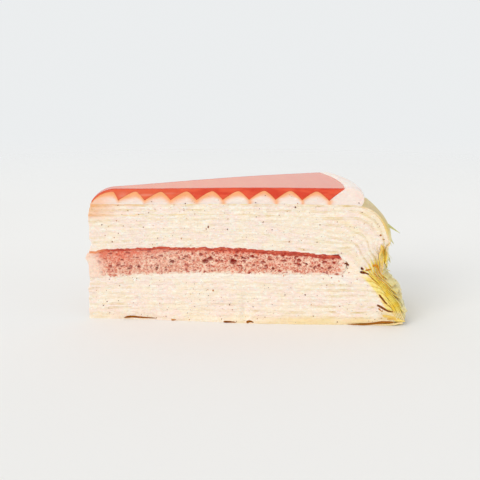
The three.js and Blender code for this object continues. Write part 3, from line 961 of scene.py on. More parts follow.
def crepeLine(g, r, s, z, share, side, bare):
    # how plainly the crepe's own tan line shows on the cut, darkened along its top and bottom as painted
    # shade of the gaps between layers, and the painted shade of the grooves between the strands of its bare
    # part
    tone = crepeLook["toneLower"][g - 1] if g <= lowerTop else crepeLook["toneUpper"][g - upperFirst]
    visible = (0.3 + 1.3 * softNoise(r / 5.5, g * 2.7, side, 20)
               + 0.7 * softNoise(r / 1.5, g * 1.3, side, 22))
    # painted shade of the gaps between layers, strongest along the crepe's top
    acrossGapShade = 0.45 + 0.55 * abs(2 * share - 1) ** 2 * (1.0 if share > 0.5 else 0.5)
    plain = ((0.5 if g <= lowerTop else 0.65) + 0.25 * ease(60, 78, r)
             + 0.4 * fade(18, 34, r) + 0.7 * ease(82, 102, r))
    shown = tone * numpy.clip(visible * plain, 0.0, 1.2) * acrossGapShade * (1 + 0.5 * ease(84, 98, r))
    # painted shade in the grooves between the bare strands
    grooveShade = 0.45 + 0.5 * (g % 2) + 0.5 * softNoise(s / 4, g * 1.7, side, 47)
    grooveShade = fade(0.15, 0.6, share) * grooveShade * ease(2.5, 6, z)
    if g > crepeLook["bladeAbove"]:
        grooveShade = grooveShade * fade(21, 24, z)
    return numpy.clip(blendTo(shown, grooveShade, bare), 0, 1)


def laceOf(g, r, share, side):
    lacy = softNoise(r / 2.6, g * 3.1, side, 57) + 0.5 * softNoise(r / 0.9, g, side, 58) + 0.3
    lacy = numpy.clip(lacy, 0, 1) * crepeLook["lace"].get(g, 0)
    return lacy * (1 - 0.7 * ease(55, 75, r)) * ease(4, 9, r) * ease(0.3, 0.7, share)


def crepeMarks(g, along, length):
    start = crepeLook["bareFrom"].get(g, 0)

    def marks(line, share, side, angle, stations):
        r, z = line.T
        s = along[stations]
        bare = ease(start - 1.2, start + 1.2, s) if g > 1 else 0.6 * ease(-4, 8, s)
        arc = angle * cake["rimArc"]
        patchy = numpy.clip(0.25 + softNoise(arc / 2.2, g * 4.1, 0, 19), 0, 1)
        brown = ease(length - 0.5, length, s) * patchy * 0.4
        if side:
            if 1 < g <= lowerTop:
                bare = highest(bare, 0.9 * strands(r, z))
            if g == lastCrepe:
                bare = highest(bare, 0.6 * ease(33, 35.5, z) * fade(38.5, 42, z))
            shown = crepeLine(g, r, s, z, share, side, bare)
            warm, gold, pale = tints(r, z)
            gold = highest(gold, laceOf(g, r, share, side), 0.75 * bare * fade(4, 7, z))
            bare = highest(bare * ease(4, 6, z), blade(g, r, z, side))
            return numpy.stack([bare, brown, shown, warm, gold, pale], axis=-1)
        # on the skin, line is the painted shade, olive, on the top crepe's shoulder, and gold the colour near
        # the cuts
        nearCut = fade(1, 7, (halfAngle - abs(angle)) * cake["rimArc"])
        zero = numpy.zeros(len(s))
        oliveShade = band = zero
        if g == lastCrepe:
            oliveShade = ease(-22, -16, s) * fade(-9, -4, s)
            band = ease(32.5, 35.5, z) * fade(38.5, 43, z)
        golden = nearCut * highest(0.9 * band, 0.3 * ease(-7, -1, s))
        return numpy.stack([bare, brown, oliveShade * (0.5 + 0.5 * nearCut), zero, golden, zero], axis=-1)
    return marks


def layerName(kind, g):
    return f"lower_{kind}_{g}" if g <= lowerTop else f"upper_{kind}_{g - lowerTop}"


for g in range(1, lastCrepe + 1):
    lines = crepeLines(g)
    lift, along, length = crepeLift(g)
    buildLayer(layerName("crepe", g), "crepe", (lines["under"], lines["over"]), flatCount - 2,
               cake["rimColumns"], crepeLook["levels"], crepeProud(g), crepeMarks(g, along, length), lift)
print("crepes laid")


# cream between the crepes
creamLook = {
    "columns": 14, "levels": 4,  # steps across from cut to cut, and up through a layer
    "proud": 0.06, "rimStations": 40,
    # by crepe below it, how golden the cream is between hanging edges
    "gold": {14: 0.5, 15: 0.4, 16: 0.3, 17: 0.2}, "otherGold": 0.5,
}


def creamProud(g):
    def proud(r, z, share, side):
        return edgeSwell(share) * creamLook["proud"] * (0.2 + softNoise(r / 3.5, g * 3.1, side * 2, 21))
    return proud


def creamMarks(g, along=None):
    def marks(line, share, side, angle, stations):
        r, z = line.T
        bare = zero = numpy.zeros(len(line))
        if along is not None:
            bare = creamLook["gold"].get(g, creamLook["otherGold"]) * ease(0.2, 3, along[stations])
        bare = highest(bare, 0.9 * blade(g, r, z, side))
        if g <= lowerTop:
            bare = highest(bare, 0.8 * strands(r, z))
        return numpy.stack([bare, zero, zero, *tints(r, z)], axis=-1)
    return marks


def creamLift(g, line):
    along, length = alongHang(g, line)
    normals = lineNormals(line)

    def lift(stations, angle, r, z):
        angle, pleat = gatherIn(g + 0.5, along[stations] / length, angle, z, r)
        normal = normals[stations]
        return angle, r + normal[..., 0] * pleat, z + normal[..., 1] * pleat
    return lift, along


def rimPart(line, endHeight):
    # a crepe's line from the end of its flat part down to a height, in even steps
    rim = line[flatCount - 1:]
    low = numpy.nonzero(rim[:, 1] < endHeight)[0]
    if len(low):
        a, b = rim[low[0] - 1], rim[low[0]]
        last = a + (b - a) * (a[1] - endHeight) / (a[1] - b[1])
        rim = numpy.vstack([rim[:low[0]], last])
    return evenOut(rim, creamLook["rimStations"])


def creamLines(g):
    # cream fills the space behind the hanging edges too, down to where they lie close
    below = nudge(crepeLines(g)["over"], cake["gap"])
    above = nudge(crepeLines(g + 1)["under"], -cake["gap"])
    if g == 1:
        edge = hangingRadius(2, 0) - 0.5
        foot = [below[flatCount - 1], (edge - 3, 0.9), (edge - 1.3, 0.8), (edge, 0.75)]
        rims = [roundOff(foot, creamLook["rimStations"]), rimPart(above, -1)]
    else:
        end = flatLevel(g) - hem["drop"] if g <= lowerTop else max(hem["landing"], hemHeight(g) + 1.2)
        rims = [rimPart(below, end), rimPart(above, end)]
    return [numpy.vstack([line[:flatCount - 1], rim]) for line, rim in zip((below, above), rims)]


for g in range(1, lastCrepe):
    if g == lowerTop:
        continue
    section = creamLines(g)
    lift, along = creamLift(g, section[0]) if g > lowerTop else (None, None)
    buildLayer(layerName("cream", g), "cream", section, flatCount - 2, creamLook["columns"],
               creamLook["levels"], creamProud(g), creamMarks(g, along), lift)
print("cream spread")


# sponge, jam and the coat of cream round them
spongeLook = {
    "stations": 620, "levels": 52, "columns": 14, "endStations": 24, "coatRimStations": 110,
    "pores": 190, "seedFront": 5, "seedBack": 6,
    "nose": 1.0,  # how far it stands out at the point
    "band": 1.0,  # how thick the darkest soaked crumb under the jam gets
    # r, z, half width, half height and depth of the large pores
    "bigFront": [
        (45.6, 23.3, 1.3, 1.0, 1.1), (47.2, 24.4, 1.5, 0.9, 0.8), (56.2, 23.5, 1.5, 1.2, 1.1),
        (59.7, 25.1, 0.6, 0.5, 1.0), (27.2, 20.9, 0.7, 0.8, 1.1), (33.2, 23.2, 0.8, 0.6, 1.0),
        (37.8, 24.5, 0.7, 0.3, 0.8), (13.7, 23.8, 0.7, 0.4, 0.7), (20.3, 21.2, 0.6, 0.5, 0.8),
        (71.4, 21.1, 0.7, 0.6, 0.8), (83.9, 22.9, 0.6, 0.5, 0.9), (86.5, 21.8, 0.5, 0.4, 0.7),
        (92.4, 21.7, 1.0, 0.7, 0.8), (16.8, 20.4, 0.8, 0.5, 0.7),
    ],
    "bigBack": [
        (30, 22, 1.4, 1.0, 1.0), (66, 23.5, 1.2, 0.9, 1.0), (84, 21, 1.0, 0.8, 0.9),
        (47, 20.5, 0.8, 0.6, 0.9),
    ],
}
jamLook = {"stations": 400, "endStations": 12, "proud": 0.1}
footAtTurn = float(spongeFoot(spongeTurn))
jamAtTurn = float(jamEdge(spongeTurn))


def spongeSection():
    radii = numpy.linspace(cake["spongeStart"], spongeTurn, spongeLook["stations"])
    footEnd = [(spongeTurn, footAtTurn), (96.5, 19.5), (98.2, 21.6)]
    topEnd = [(spongeTurn, jamAtTurn - cake["jamDepth"]), (96.4, 25.8), (98.4, 24.2)]
    return (extended(lineOf(radii, spongeFoot(radii)), footEnd, spongeLook["endStations"]),
            extended(lineOf(radii, jamEdge(radii) - cake["jamDepth"]), topEnd, spongeLook["endStations"]))


def poreField(seed, big):
    draw = numpy.random.RandomState(seed)
    pores = []
    for _ in range(spongeLook["pores"]):
        r = 5 + 92 * draw.rand()
        z = 17.8 + 9.6 * draw.rand()
        size = 0.26 + 0.5 * draw.rand() ** 3
        pores.append((r, z, size * (1 + 0.8 * draw.rand()), size, 0.24 * size))
    return pores + big


frontPores = poreField(spongeLook["seedFront"], spongeLook["bigFront"])
backPores = poreField(spongeLook["seedBack"], spongeLook["bigBack"])


def spongePits(r, z, side):
    # how deep the pores are at a place, and how much painted shade lies in them, more in their upper part
    shadedHoles = softNoise(r / 0.95, z / 0.75, side * 3, 50) + 0.6 * softNoise(r / 0.5, z / 0.44, side * 3, 51)
    shadedHoles = ease(0.46, 0.85, shadedHoles)
    deep, paintedShade = 0.06 * shadedHoles, 0.55 * shadedHoles
    tornR = r + 0.3 * softNoise(r / 0.8, z / 0.8, side, 48)
    tornZ = z + 0.26 * softNoise(r / 0.8, z / 0.8, side, 49)
    for place, level, wide, high, depth in (frontPores if side < 0 else backPores):
        acrossGapShade, up = (tornR - place) / wide, (tornZ - level) / high
        window = numpy.nonzero((numpy.abs(acrossGapShade) < 1) & (numpy.abs(up) < 1))
        if not len(window[0]):
            continue
        inside = numpy.clip(1 - acrossGapShade[window] ** 2 - up[window] ** 2, 0, 1) ** 0.6
        deep[window] = highest(deep[window], depth * inside)
        # the painted shade is deeper under each pore's upper rim
        shadeUnderRim = 0.6 + 0.4 * ease(-0.6, 0.6, up[window])
        paintedShade[window] = highest(paintedShade[window], ease(0.1, 0.8, inside) * shadeUnderRim)
    crumbs = (0.15 * softNoise(r / 0.5, z / 0.45, side * 3, 31)
              + 0.14 * softNoise(r / 1.3, z / 1.1, side * 3, 32))
    return deep - crumbs, paintedShade


def spongeLift(stations, angle, r, z):
    return angle, r - spongeLook["nose"] * hill(z, 24.1, 1.4) * fade(1, 4.5, r), z


def spongeMarks(line, share, side, angle, stations):
    r, z = line.T
    fromTop = jamTop(r) - cake["jamDepth"] - z
    depth = 0.8 + 4.0 * hill(r, 12, 11) + 0.8 * hill(r, 54, 5) + 0.4 * softNoise(r / 3, 0.5, side, 39)
    soak = numpy.exp(-numpy.clip(fromTop / numpy.maximum(depth, 0.3), 0, 9) ** 2) * 0.85
    soak = soak * (0.75 + 0.5 * softNoise(r / 0.8, z / 0.6, side, 40))
    ragged = 0.5 * softNoise(r / 2.3, 0.5, side, 54) + 0.5 * softNoise(r / 0.8, z / 0.7, side, 55)
    thick = spongeLook["band"] * (0.15 + 0.6 * ease(45, 75, r) + 0.6 * ragged) * fade(93, 96, r)
    band = fade(thick - 0.25, thick + 0.3, fromTop) * ease(9, 16, r) * 0.9
    # cream smeared over it at the point, along its foot, at the rim, and thinly towards the point
    atTip = fade(3.0, 8.5, r + 2.5 * ease(22.5, 26.5, z) + softNoise(r / 2, z / 1.5, side, 41))
    torn = softNoise(r / 1.3, z / 0.7, side, 42) + 0.6 * softNoise(r / 0.6, z / 0.4, side, 56)
    foot = fade(0.2, 0.6, z - spongeBottom(r) - 0.9 * torn)
    atRim = ease(96.4, 97.2, r + 1.5 * torn)
    smear = highest(atTip * 0.85, foot * 0.9, atRim * 0.9, 0.14 * hill(r, 26, 16))
    return numpy.clip(numpy.stack([soak, band, smear], axis=-1), 0, 1)


def spongeProud(r, z, share, side):
    return -0.1 + 0.26 * ease(95.2, 97, r)


section = spongeSection()
buildLayer("sponge", "sponge", section, len(section[0]) - spongeLook["endStations"] + 2,
           spongeLook["columns"], spongeLook["levels"], spongeProud, spongeMarks, spongeLift, spongePits)


def jamSection():
    radii = numpy.linspace(cake["spongeStart"] + 0.5, spongeTurn, jamLook["stations"])
    under = lineOf(radii, jamEdge(radii) - cake["jamDepth"] + cake["gap"])
    underEnd = [(spongeTurn, jamAtTurn - 0.88), (96.4, 25.84)]
    overEnd = [(spongeTurn, jamAtTurn), (95.9, 26.55)]
    return (extended(under, underEnd, jamLook["endStations"]),
            extended(lineOf(radii, jamEdge(radii)), overEnd, jamLook["endStations"]))


def jamMarks(line, share, side, angle, stations):
    return (0.9 * fade(3, 9, line[:, 0]))[:, None]


def jamProud(r, z, share, side):
    return jamLook["proud"] * softNoise(r / 1.2, z, side, 35)


section = jamSection()
buildLayer("jam", "jam", section, len(section[0]) - jamLook["endStations"] + 2,
           creamLook["columns"], creamLook["levels"], jamProud, jamMarks)


def coatSection():
    # the outer line runs along the crepes below and above, the inner one round the sponge and jam
    gap = cake["gap"]
    radii = numpy.linspace(cake["spongeStart"] + 0.6, spongeTurn, spongeLook["stations"])
    below = nudge(crepeLines(lowerTop)["over"], gap)
    above = nudge(crepeLines(upperFirst)["under"], -gap)
    outerLow, outerHigh = (lineOf(radii, numpy.interp(radii, *line[:flatCount].T)) for line in (below, above))
    lowRim = below[(below[:, 0] > 92.3) & (below[:, 0] < 110.2)]
    highRim = above[(above[:, 0] > 92.3) & (above[:, 1] > 16.8)][::-1]
    count = spongeLook["coatRimStations"]
    outerRim = evenOut(numpy.vstack([outerLow[-1], lowRim, highRim, outerHigh[-1]]), count)
    innerRim = roundOff([(spongeTurn, footAtTurn - gap), (96.52, 19.44), (98.25, 21.6), (98.45, 24.22),
                         (97.46, 25.05), (96.47, 25.88), (95.95, 26.6), (spongeTurn, jamAtTurn + gap)], count)
    innerLow, innerHigh = lineOf(radii, spongeFoot(radii) - gap), lineOf(radii, jamEdge(radii) + gap)
    parts = ((outerLow, outerRim, outerHigh), (innerLow, innerRim, innerHigh))
    return [numpy.vstack([low[:-1], rim, high[::-1][1:]]) for low, rim, high in parts]


buildLayer("sponge_coat", "cream", coatSection(), 0, creamLook["columns"], creamLook["levels"],
           creamProud(lowerTop), creamMarks(lowerTop))
print("sponge baked")


# topping and jelly
topLook = {
    "firstRidge": 11.4, "secondRidge": 20, "ridgePitch": 9.57, "ridges": 9, "ridgeTop": 50.1, "valley": 46.5,
    "firstValley": 0.22,  # share of the way from the first ridge to the second
    "roundness": 1.25,  # 1 for straight-sided ridges, more for rounder ones
    "firstLean": 0.34, "lastLean": 0.46,  # share of the pitch from a ridge's top to the valley behind it
    "jellyRadius": 97,
    "jellyStart": 3, "jellyEdge": 0.42,  # it has run over the point, and is this thin at its lower end
    "bleed": 1.5,  # how deep the fruit colour has soaked in
    "stainFrom": 4,  # from this valley on it has run down to the crepes too
    # r, z, wide, high and how bright
    "gleams": [(15, 48.6, 1.6, 1.2, 0.55), (23.5, 48.9, 3.4, 0.35, 0.7), (32.8, 49.4, 2.2, 0.3, 0.45)],
    "dome": [(97.2, 51.1), (100.2, 51.3), (102.7, 50.6), (104.3, 48.9), (104.8, 46.9), (104.0, 45.05)],
    "toppingProud": 0.05, "jellyProud": 0.08,
    "lineStations": 420, "domeStations": 60, "jellyEndStations": 24,
    "toppingColumns": 60, "toppingLevels": 16, "jellyColumns": 40, "jellyLevels": 10,
}
firstRidge = topLook["firstRidge"]


def tipTop(r):
    inward = tipRound["r"] - numpy.minimum(r, tipRound["r"])
    rounded = numpy.sqrt(numpy.maximum(tipRound["radius"] ** 2 - inward ** 2, 0))
    return numpy.where(r < tipRound["r"], tipRound["z"] + rounded, cake["height"])


def ridgeTopRadius(n):
    return firstRidge if n == 0 else topLook["secondRidge"] + topLook["ridgePitch"] * (n - 1)


def valleyRadius(n):
    if n == 0:
        return blendTo(firstRidge, topLook["secondRidge"], topLook["firstValley"])
    lean = blendTo(topLook["firstLean"], topLook["lastLean"], (n - 1) / (topLook["ridges"] - 2))
    return ridgeTopRadius(n) + lean * topLook["ridgePitch"]


ridgeTops = numpy.array([ridgeTopRadius(n) for n in range(topLook["ridges"] + 1)])
valleys = numpy.array([valleyRadius(n) for n in range(topLook["ridges"])])
lastValley = valleys[-1]


def ridgeHeight(r):
    r = numpy.asarray(r, float)
    n = numpy.clip(numpy.searchsorted(ridgeTops, r, side="right") - 1, 0, topLook["ridges"] - 1)
    nearest = n + (r > valleys[n])
    away = numpy.abs((r - ridgeTops[nearest]) / (valleys[n] - ridgeTops[nearest]))
    blunt = numpy.sqrt(away ** 2 + 0.006) - 0.077
    rise = 1 - numpy.clip(blunt, 0, 1) ** topLook["roundness"]
    own = 0.18 * softNoise(nearest * 3.7, 0.5, 0, 43) * rise * (nearest > 0)
    ridged = topLook["valley"] + (topLook["ridgeTop"] - topLook["valley"]) * rise + own
    share = numpy.clip((r - topLook["jellyStart"]) / (firstRidge - topLook["jellyStart"]), 0, 1)
    film = blendTo(topLook["jellyEdge"], cake["height"] - topLook["ridgeTop"], share ** 0.7)
    return numpy.where(r < firstRidge, tipTop(r) - film, ridged)


ridgeRadii = numpy.linspace(topLook["jellyStart"], lastValley, topLook["lineStations"])
ridgeLine = lineOf(ridgeRadii, ridgeHeight(ridgeRadii))
domeRise = (lastValley + topLook["jellyRadius"]) / 2


def toppingSection():
    under = lineOf(ridgeRadii, cake["blockTop"] + cake["gap"])
    under[0, 0] -= 0.45
    dome = [(lastValley, topLook["valley"]), (domeRise, 48.9)] + topLook["dome"]
    over = extended(ridgeLine, dome, topLook["domeStations"])
    seatR = numpy.linspace(lastValley, 103.7, topLook["domeStations"])
    seatZ = numpy.interp(seatR, *crepeLines(lastCrepe)["over"][:flatCount + 12].T) + cake["gap"]
    return numpy.vstack([under, lineOf(seatR, seatZ)[1:]]), over


def toppingMarks(line, share, side, angle, stations):
    r, z = line.T
    acrossGapShade, upDown = (ridgeLine[:, k][None, :] - line[:, k][:, None] for k in (0, 1))
    distance = numpy.sqrt(acrossGapShade ** 2 + (0.62 * upDown) ** 2).min(axis=1)
    depth = topLook["bleed"] * (1 + 0.4 * softNoise(r / 2.6, z / 2, side, 44))
    depth = depth * (0.35 + 0.65 * ease(46.8, 49, z)) * (0.9 + 1.2 * hill(r, 34, 18))
    bleed = numpy.exp(-(distance / depth) ** 1.8) * fade(93, 97, r) * 0.95
    for n in range(topLook["stainFrom"], topLook["ridges"]):
        wide = 1.0 + 0.5 * softNoise(n * 2.7, z / 1.1, 0, 45)
        bleed = highest(bleed, 0.8 * (hill(r, valleys[n] + 0.3, wide) * fade(46.4, 48, z)))
    return numpy.clip(highest(bleed, fade(5, 13, r) * 0.5), 0, 1)[:, None]


def jellySection():
    end = [(lastValley, 46.52), (domeRise, 48.94), (96.8, 50.9)]
    count = topLook["jellyEndStations"]
    top = lineOf(numpy.linspace(lastValley, topLook["jellyRadius"], count), cake["height"])
    over = numpy.vstack([lineOf(ridgeRadii, tipTop(ridgeRadii)), top[1:]])
    return extended(ridgeLine + (0, cake["gap"]), end, count), over


def jellyMarks(line, share, side, angle, stations):
    r, z = line.T
    thickness = tipTop(r) - ridgeHeight(r)
    gleam = numpy.zeros(len(r))
    if side:
        shallowAndSheen = 0.35 * numpy.exp(-numpy.clip(thickness - 0.7, 0, 9) / 0.7)
        shallowAndSheen = highest(shallowAndSheen, 0.4 * fade(24, 52, r))
        deep = ease(-0.45, 0.0, z - tipTop(r)) * 0.8
        if side < 0:
            gleam = highest(gleam, *(mound(r, z, *spot) for spot in topLook["gleams"]))
    else:
        # on the top: lighter where the jelly is thin over the ridges, and a painted sheen over the whole top
        shallowAndSheen = 0.6 + 0.3 * numpy.exp(-numpy.clip(thickness - 0.7, 0, 9) / 1.6)
        fromCut = (halfAngle - numpy.abs(angle)) * r
        deep = fade(0.1, 0.9, fromCut) * 0.8 + 0.6 * fade(7, 17, r) + 0.25 * ease(55, 90, r)
    return numpy.clip(numpy.stack([shallowAndSheen, gleam, deep], axis=-1), 0, 1)


buildLayer("topping", "topping", toppingSection(), len(ridgeRadii) - 2, topLook["toppingColumns"],
           topLook["toppingLevels"], lambda r, z, share, side: topLook["toppingProud"], toppingMarks)
buildLayer("jelly", "jelly", jellySection(), 0, topLook["jellyColumns"],
           topLook["jellyLevels"], lambda r, z, share, side: topLook["jellyProud"], jellyMarks)
print("topping and jelly set")


class Recipe(NodeTree):
    # a Geometry Nodes tree with named inputs, run once on a mesh
    def __init__(self, name, **inputs):
        self.tree = bpy.data.node_groups.new(name, "GeometryNodeTree")
        addSocket = self.tree.interface.new_socket
        for label, kind in {"Geometry": "Geometry", **inputs, "Seed": "Int", "Finish": "Material"}.items():
            addSocket(label, in_out="INPUT", socket_type="NodeSocket" + kind)
        addSocket("Geometry", in_out="OUTPUT", socket_type="NodeSocketGeometry")
        self.inputs = self.node("NodeGroupInput", out=None).outputs

    def input(self, label):
        return Wire(self, self.inputs[label])

    def chance(self, low, high):
        # a random number, or a random vector, for each grain
        kind, first, out = ("FLOAT", 2, 1) if isinstance(low, float) else ("FLOAT_VECTOR", 0, 0)
        sockets = {first: low, first + 1: high, 8: self.input("Seed")}
        return self.node("FunctionNodeRandomValue", {"data_type": kind}, sockets, out)

    def attribute(self, label, kind="FLOAT_VECTOR"):
        return self.node("GeometryNodeInputNamedAttribute", {"data_type": kind}, {"Name": label}, "Attribute")

    def points(self, **chosen):
        sockets = {"Mesh": self.input("Geometry"), **chosen}
        return self.node("GeometryNodeMeshToPoints", None, sockets, "Points")

    def strew(self, points, shape, turn, scale):
        sockets = {"Points": points, "Instance": shape, "Rotation": turn, "Scale": scale}
        return self.node("GeometryNodeInstanceOnPoints", None, sockets)

    def close(self, *parts):
        joined = self.node("GeometryNodeJoinGeometry", out=None)
        for part in parts:
            self.tree.links.new(part.socket, joined.inputs[0])
        solid = self.node("GeometryNodeRealizeInstances", None, {0: Wire(self, joined.outputs[0])})
        smooth = self.node("GeometryNodeSetShadeSmooth", None, {"Geometry": solid})
        painted = self.node("GeometryNodeSetMaterial", None,
                            {"Geometry": smooth, "Material": self.input("Finish")})
        self.node("NodeGroupOutput", None, {0: painted}, None)

    def run(self, name, mesh, values):
        source = addObject(name + "_source", mesh)
        modifier = source.modifiers.new("recipe", "NODES")
        modifier.node_group = self.tree
        for item in self.tree.interface.items_tree:
            if item.in_out == "INPUT" and item.name in values:
                modifier[item.identifier] = values[item.name]
        bpy.context.view_layer.update()
        ready = source.evaluated_get(bpy.context.evaluated_depsgraph_get())
        made = bpy.data.meshes.new_from_object(ready)
        made.name = name
        bpy.data.objects.remove(source)
        return addObject(name, made)


def grainRecipe():
    # grains strewn over the faces of a sheet, and one on each loose point that has a size
    recipe = Recipe("grains", Density="Float", Smallest="Float", Largest="Float")
    sheet = {"Mesh": recipe.input("Geometry"), "Density": recipe.input("Density"),
             "Seed": recipe.input("Seed")}
    strewn = recipe.node("GeometryNodeDistributePointsOnFaces", None, sheet, "Points")
    size = recipe.node("ShaderNodeMapRange", None, {
        "Value": recipe.chance(0.0, 1.0) ** 3.0,
        "To Min": recipe.input("Smallest"), "To Max": recipe.input("Largest")})
    grain = recipe.node("GeometryNodeMeshIcoSphere", None, {"Radius": 0.5, "Subdivisions": 2}, "Mesh")
    turn = recipe.chance((0.0, 0.0, 0.0), (6.3, 6.3, 6.3))
    squashed = recipe.chance((0.6, 0.6, 0.45), (1.5, 1.0, 0.9))
    own = recipe.attribute("size", "FLOAT")
    parts = []
    for points, width in ((strewn, size), (recipe.points(Selection=own), own)):
        scale = recipe.node("ShaderNodeVectorMath", {"operation": "SCALE"}, {0: squashed, "Scale": width})
        parts.append(recipe.strew(points, grain, turn, scale))
    recipe.close(*parts)
    return recipe


def shredRecipe():
    # a thin bent shred on each point, lying along its own direction
    recipe = Recipe("shreds", Curl="Float")
    spike = recipe.node("GeometryNodeMeshCone", None, {
        "Vertices": 8, "Side Segments": 6, "Radius Top": 0.06, "Radius Bottom": 0.5, "Depth": 1.0}, "Mesh")
    along = recipe.node("ShaderNodeSeparateXYZ", None, {0: recipe.node("GeometryNodeInputPosition")}, "Z")
    lift = recipe.node("ShaderNodeCombineXYZ", None, {"Y": along ** 2.0 * recipe.input("Curl")})
    bent = recipe.node("GeometryNodeSetPosition", None, {"Geometry": spike, "Offset": lift})
    facing = recipe.node("FunctionNodeAlignRotationToVector", {"axis": "Y"},
                         {"Vector": recipe.attribute("outward")})
    turned = recipe.node("FunctionNodeAlignRotationToVector", {"axis": "Z"},
                         {"Rotation": facing, "Vector": recipe.attribute("along")})
    scale = recipe.node("ShaderNodeVectorMath", {"operation": "MULTIPLY"},
                        {0: recipe.attribute("shape"), 1: recipe.chance((0.8, 0.8, 0.8), (1.2, 1.2, 1.2))})
    recipe.close(recipe.strew(recipe.points(), bent, turned, scale))
    return recipe


grains = grainRecipe()
shreds = shredRecipe()

# front gives r, z and width of the ones that catch the eye
speckLook = {
    "inputs": {"Density": 95000, "Smallest": 0.00018, "Largest": 0.0005, "Seed": 3},
    "finish": "vanillaSpeck",
    "front": [
        (46.8, 36.6, 0.85), (22.5, 36.6, 0.6), (6.8, 37.4, 0.5), (38.5, 45.6, 0.5), (54.2, 35.8, 0.55),
        (11.2, 32.5, 0.5), (79.1, 44.3, 0.65), (88.2, 38.2, 0.55), (111.7, 34.2, 1.0), (112.9, 32.6, 0.8),
        (100.2, 33.0, 0.55), (102.7, 46.1, 0.5), (82.5, 28.5, 0.5), (48.7, 12.4, 0.75), (12.6, 13.4, 0.5),
    ],
}
crumbLook = {
    "inputs": {"Density": 160000, "Smallest": 0.0002, "Largest": 0.0008, "Seed": 8},
    "finish": "spongeCrumbs",
    "front": [
        (96.5, 27.6, 0.5), (99.0, 23.0, 0.6), (98.9, 22.0, 0.5), (10.6, 17.3, 0.9), (19.0, 15.8, 0.35),
        (90.1, 17.6, 0.5), (95.7, 17.0, 0.5), (93.0, 18.2, 0.6), (75.3, 18.6, 0.6), (96.8, 21.0, 0.5),
        (97.0, 19.0, 0.6), (99.4, 20.4, 0.5), (97.4, 22.4, 0.5), (95.4, 27.0, 0.5),
    ],
}
grainSheet = {
    "rise": 0.05,  # how far the grains stand out of the cuts
    "radii": (2, 116, 190), "heights": (0.6, 50, 83),  # from, to and steps
}
shoulderLine = crepeLines(lastCrepe)["under"][flatCount - 1:]


def cutPlace(r, z, side, sink):
    r, z = numpy.asarray(r, float), numpy.asarray(z, float)
    return toPlace(r, side * halfAngle, z, side * (bulge(r) + relief(r, z, side) - sink))


def cutSheet(name, inside, chosen):
    # the faces of both cuts that inside() keeps, and loose points for the chosen grains
    points, faces = [], []
    rise = grainSheet["rise"]
    radii, heights = numpy.linspace(*grainSheet["radii"]), numpy.linspace(*grainSheet["heights"])
    gridR, gridZ = numpy.meshgrid(radii, heights, indexing="ij")
    rows = len(heights)
    for side in (-1, 1):
        base = len(points)
        points += cutPlace(gridR, gridZ, side, -rise).reshape(-1, 3).tolist()
        for i in range(len(radii) - 1):
            for k in range(rows - 1):
                if inside((radii[i] + radii[i + 1]) / 2, (heights[k] + heights[k + 1]) / 2):
                    a = base + i * rows + k
                    faces.append((a, a + rows, a + rows + 1, a + 1))
    sizes = [0.0] * len(points)
    for r, z, width in chosen:
        points.append(cutPlace(r, z, -1, -rise).tolist())
        sizes.append(width / 1000)
    mesh = bpy.data.meshes.new(name)
    mesh.from_pydata(points, [], faces)
    writeMark(mesh, "size", sizes)
    return mesh


def inCream(r, z):
    if z < 16.8:
        return 3 < r < slopeAt(z) - 1.5
    if z < 29.5:
        return 99.5 < r < 104
    if z > 44.5:
        return 8 < r < 103 and z < float(ridgeHeight(min(r, lastValley))) - 1.2
    return 4 < r < numpy.interp(-z, -shoulderLine[:, 1], shoulderLine[:, 0]) - 0.8


def besideSponge(r, z):
    belowSponge = 6 < r < 97 and -1.3 < z - spongeUnder(r) < 0.5
    return belowSponge or (97 < r < 99.5 and 18 < z < 26.5)


for name, slot, inside, look in (("look_specks", "cream", inCream, speckLook),
                                 ("look_crumbs", "sponge", besideSponge, crumbLook)):
    sheet = cutSheet(name + "_sheet", inside, look["front"])
    strewn = grains.run(name, sheet, {**look["inputs"], "Finish": finishes[look["finish"]]})
    finishPiece(strewn, slot)
print("specks and crumbs strewn")

shredLook = {
    "perEdge": 9, "curl": 0.35, "thick": 0.16, "seed": 5, "placeSeed": 17,
    # r, angle in degrees, z, length, width, rise over run of the ones that stand away
    "standing": [
        (113.4, -9.6, 37.1, 7.0, 1.3, -0.66), (114.8, -9.4, 31.8, 3.4, 0.7, -1.6),
        (114.6, -8.2, 30.5, 2.2, 0.5, -2.2), (114.0, 8.5, 36.0, 3.2, 0.8, -1.1),
        (114.9, 2.4, 31.0, 2.6, 0.7, -2.0),
    ],
}


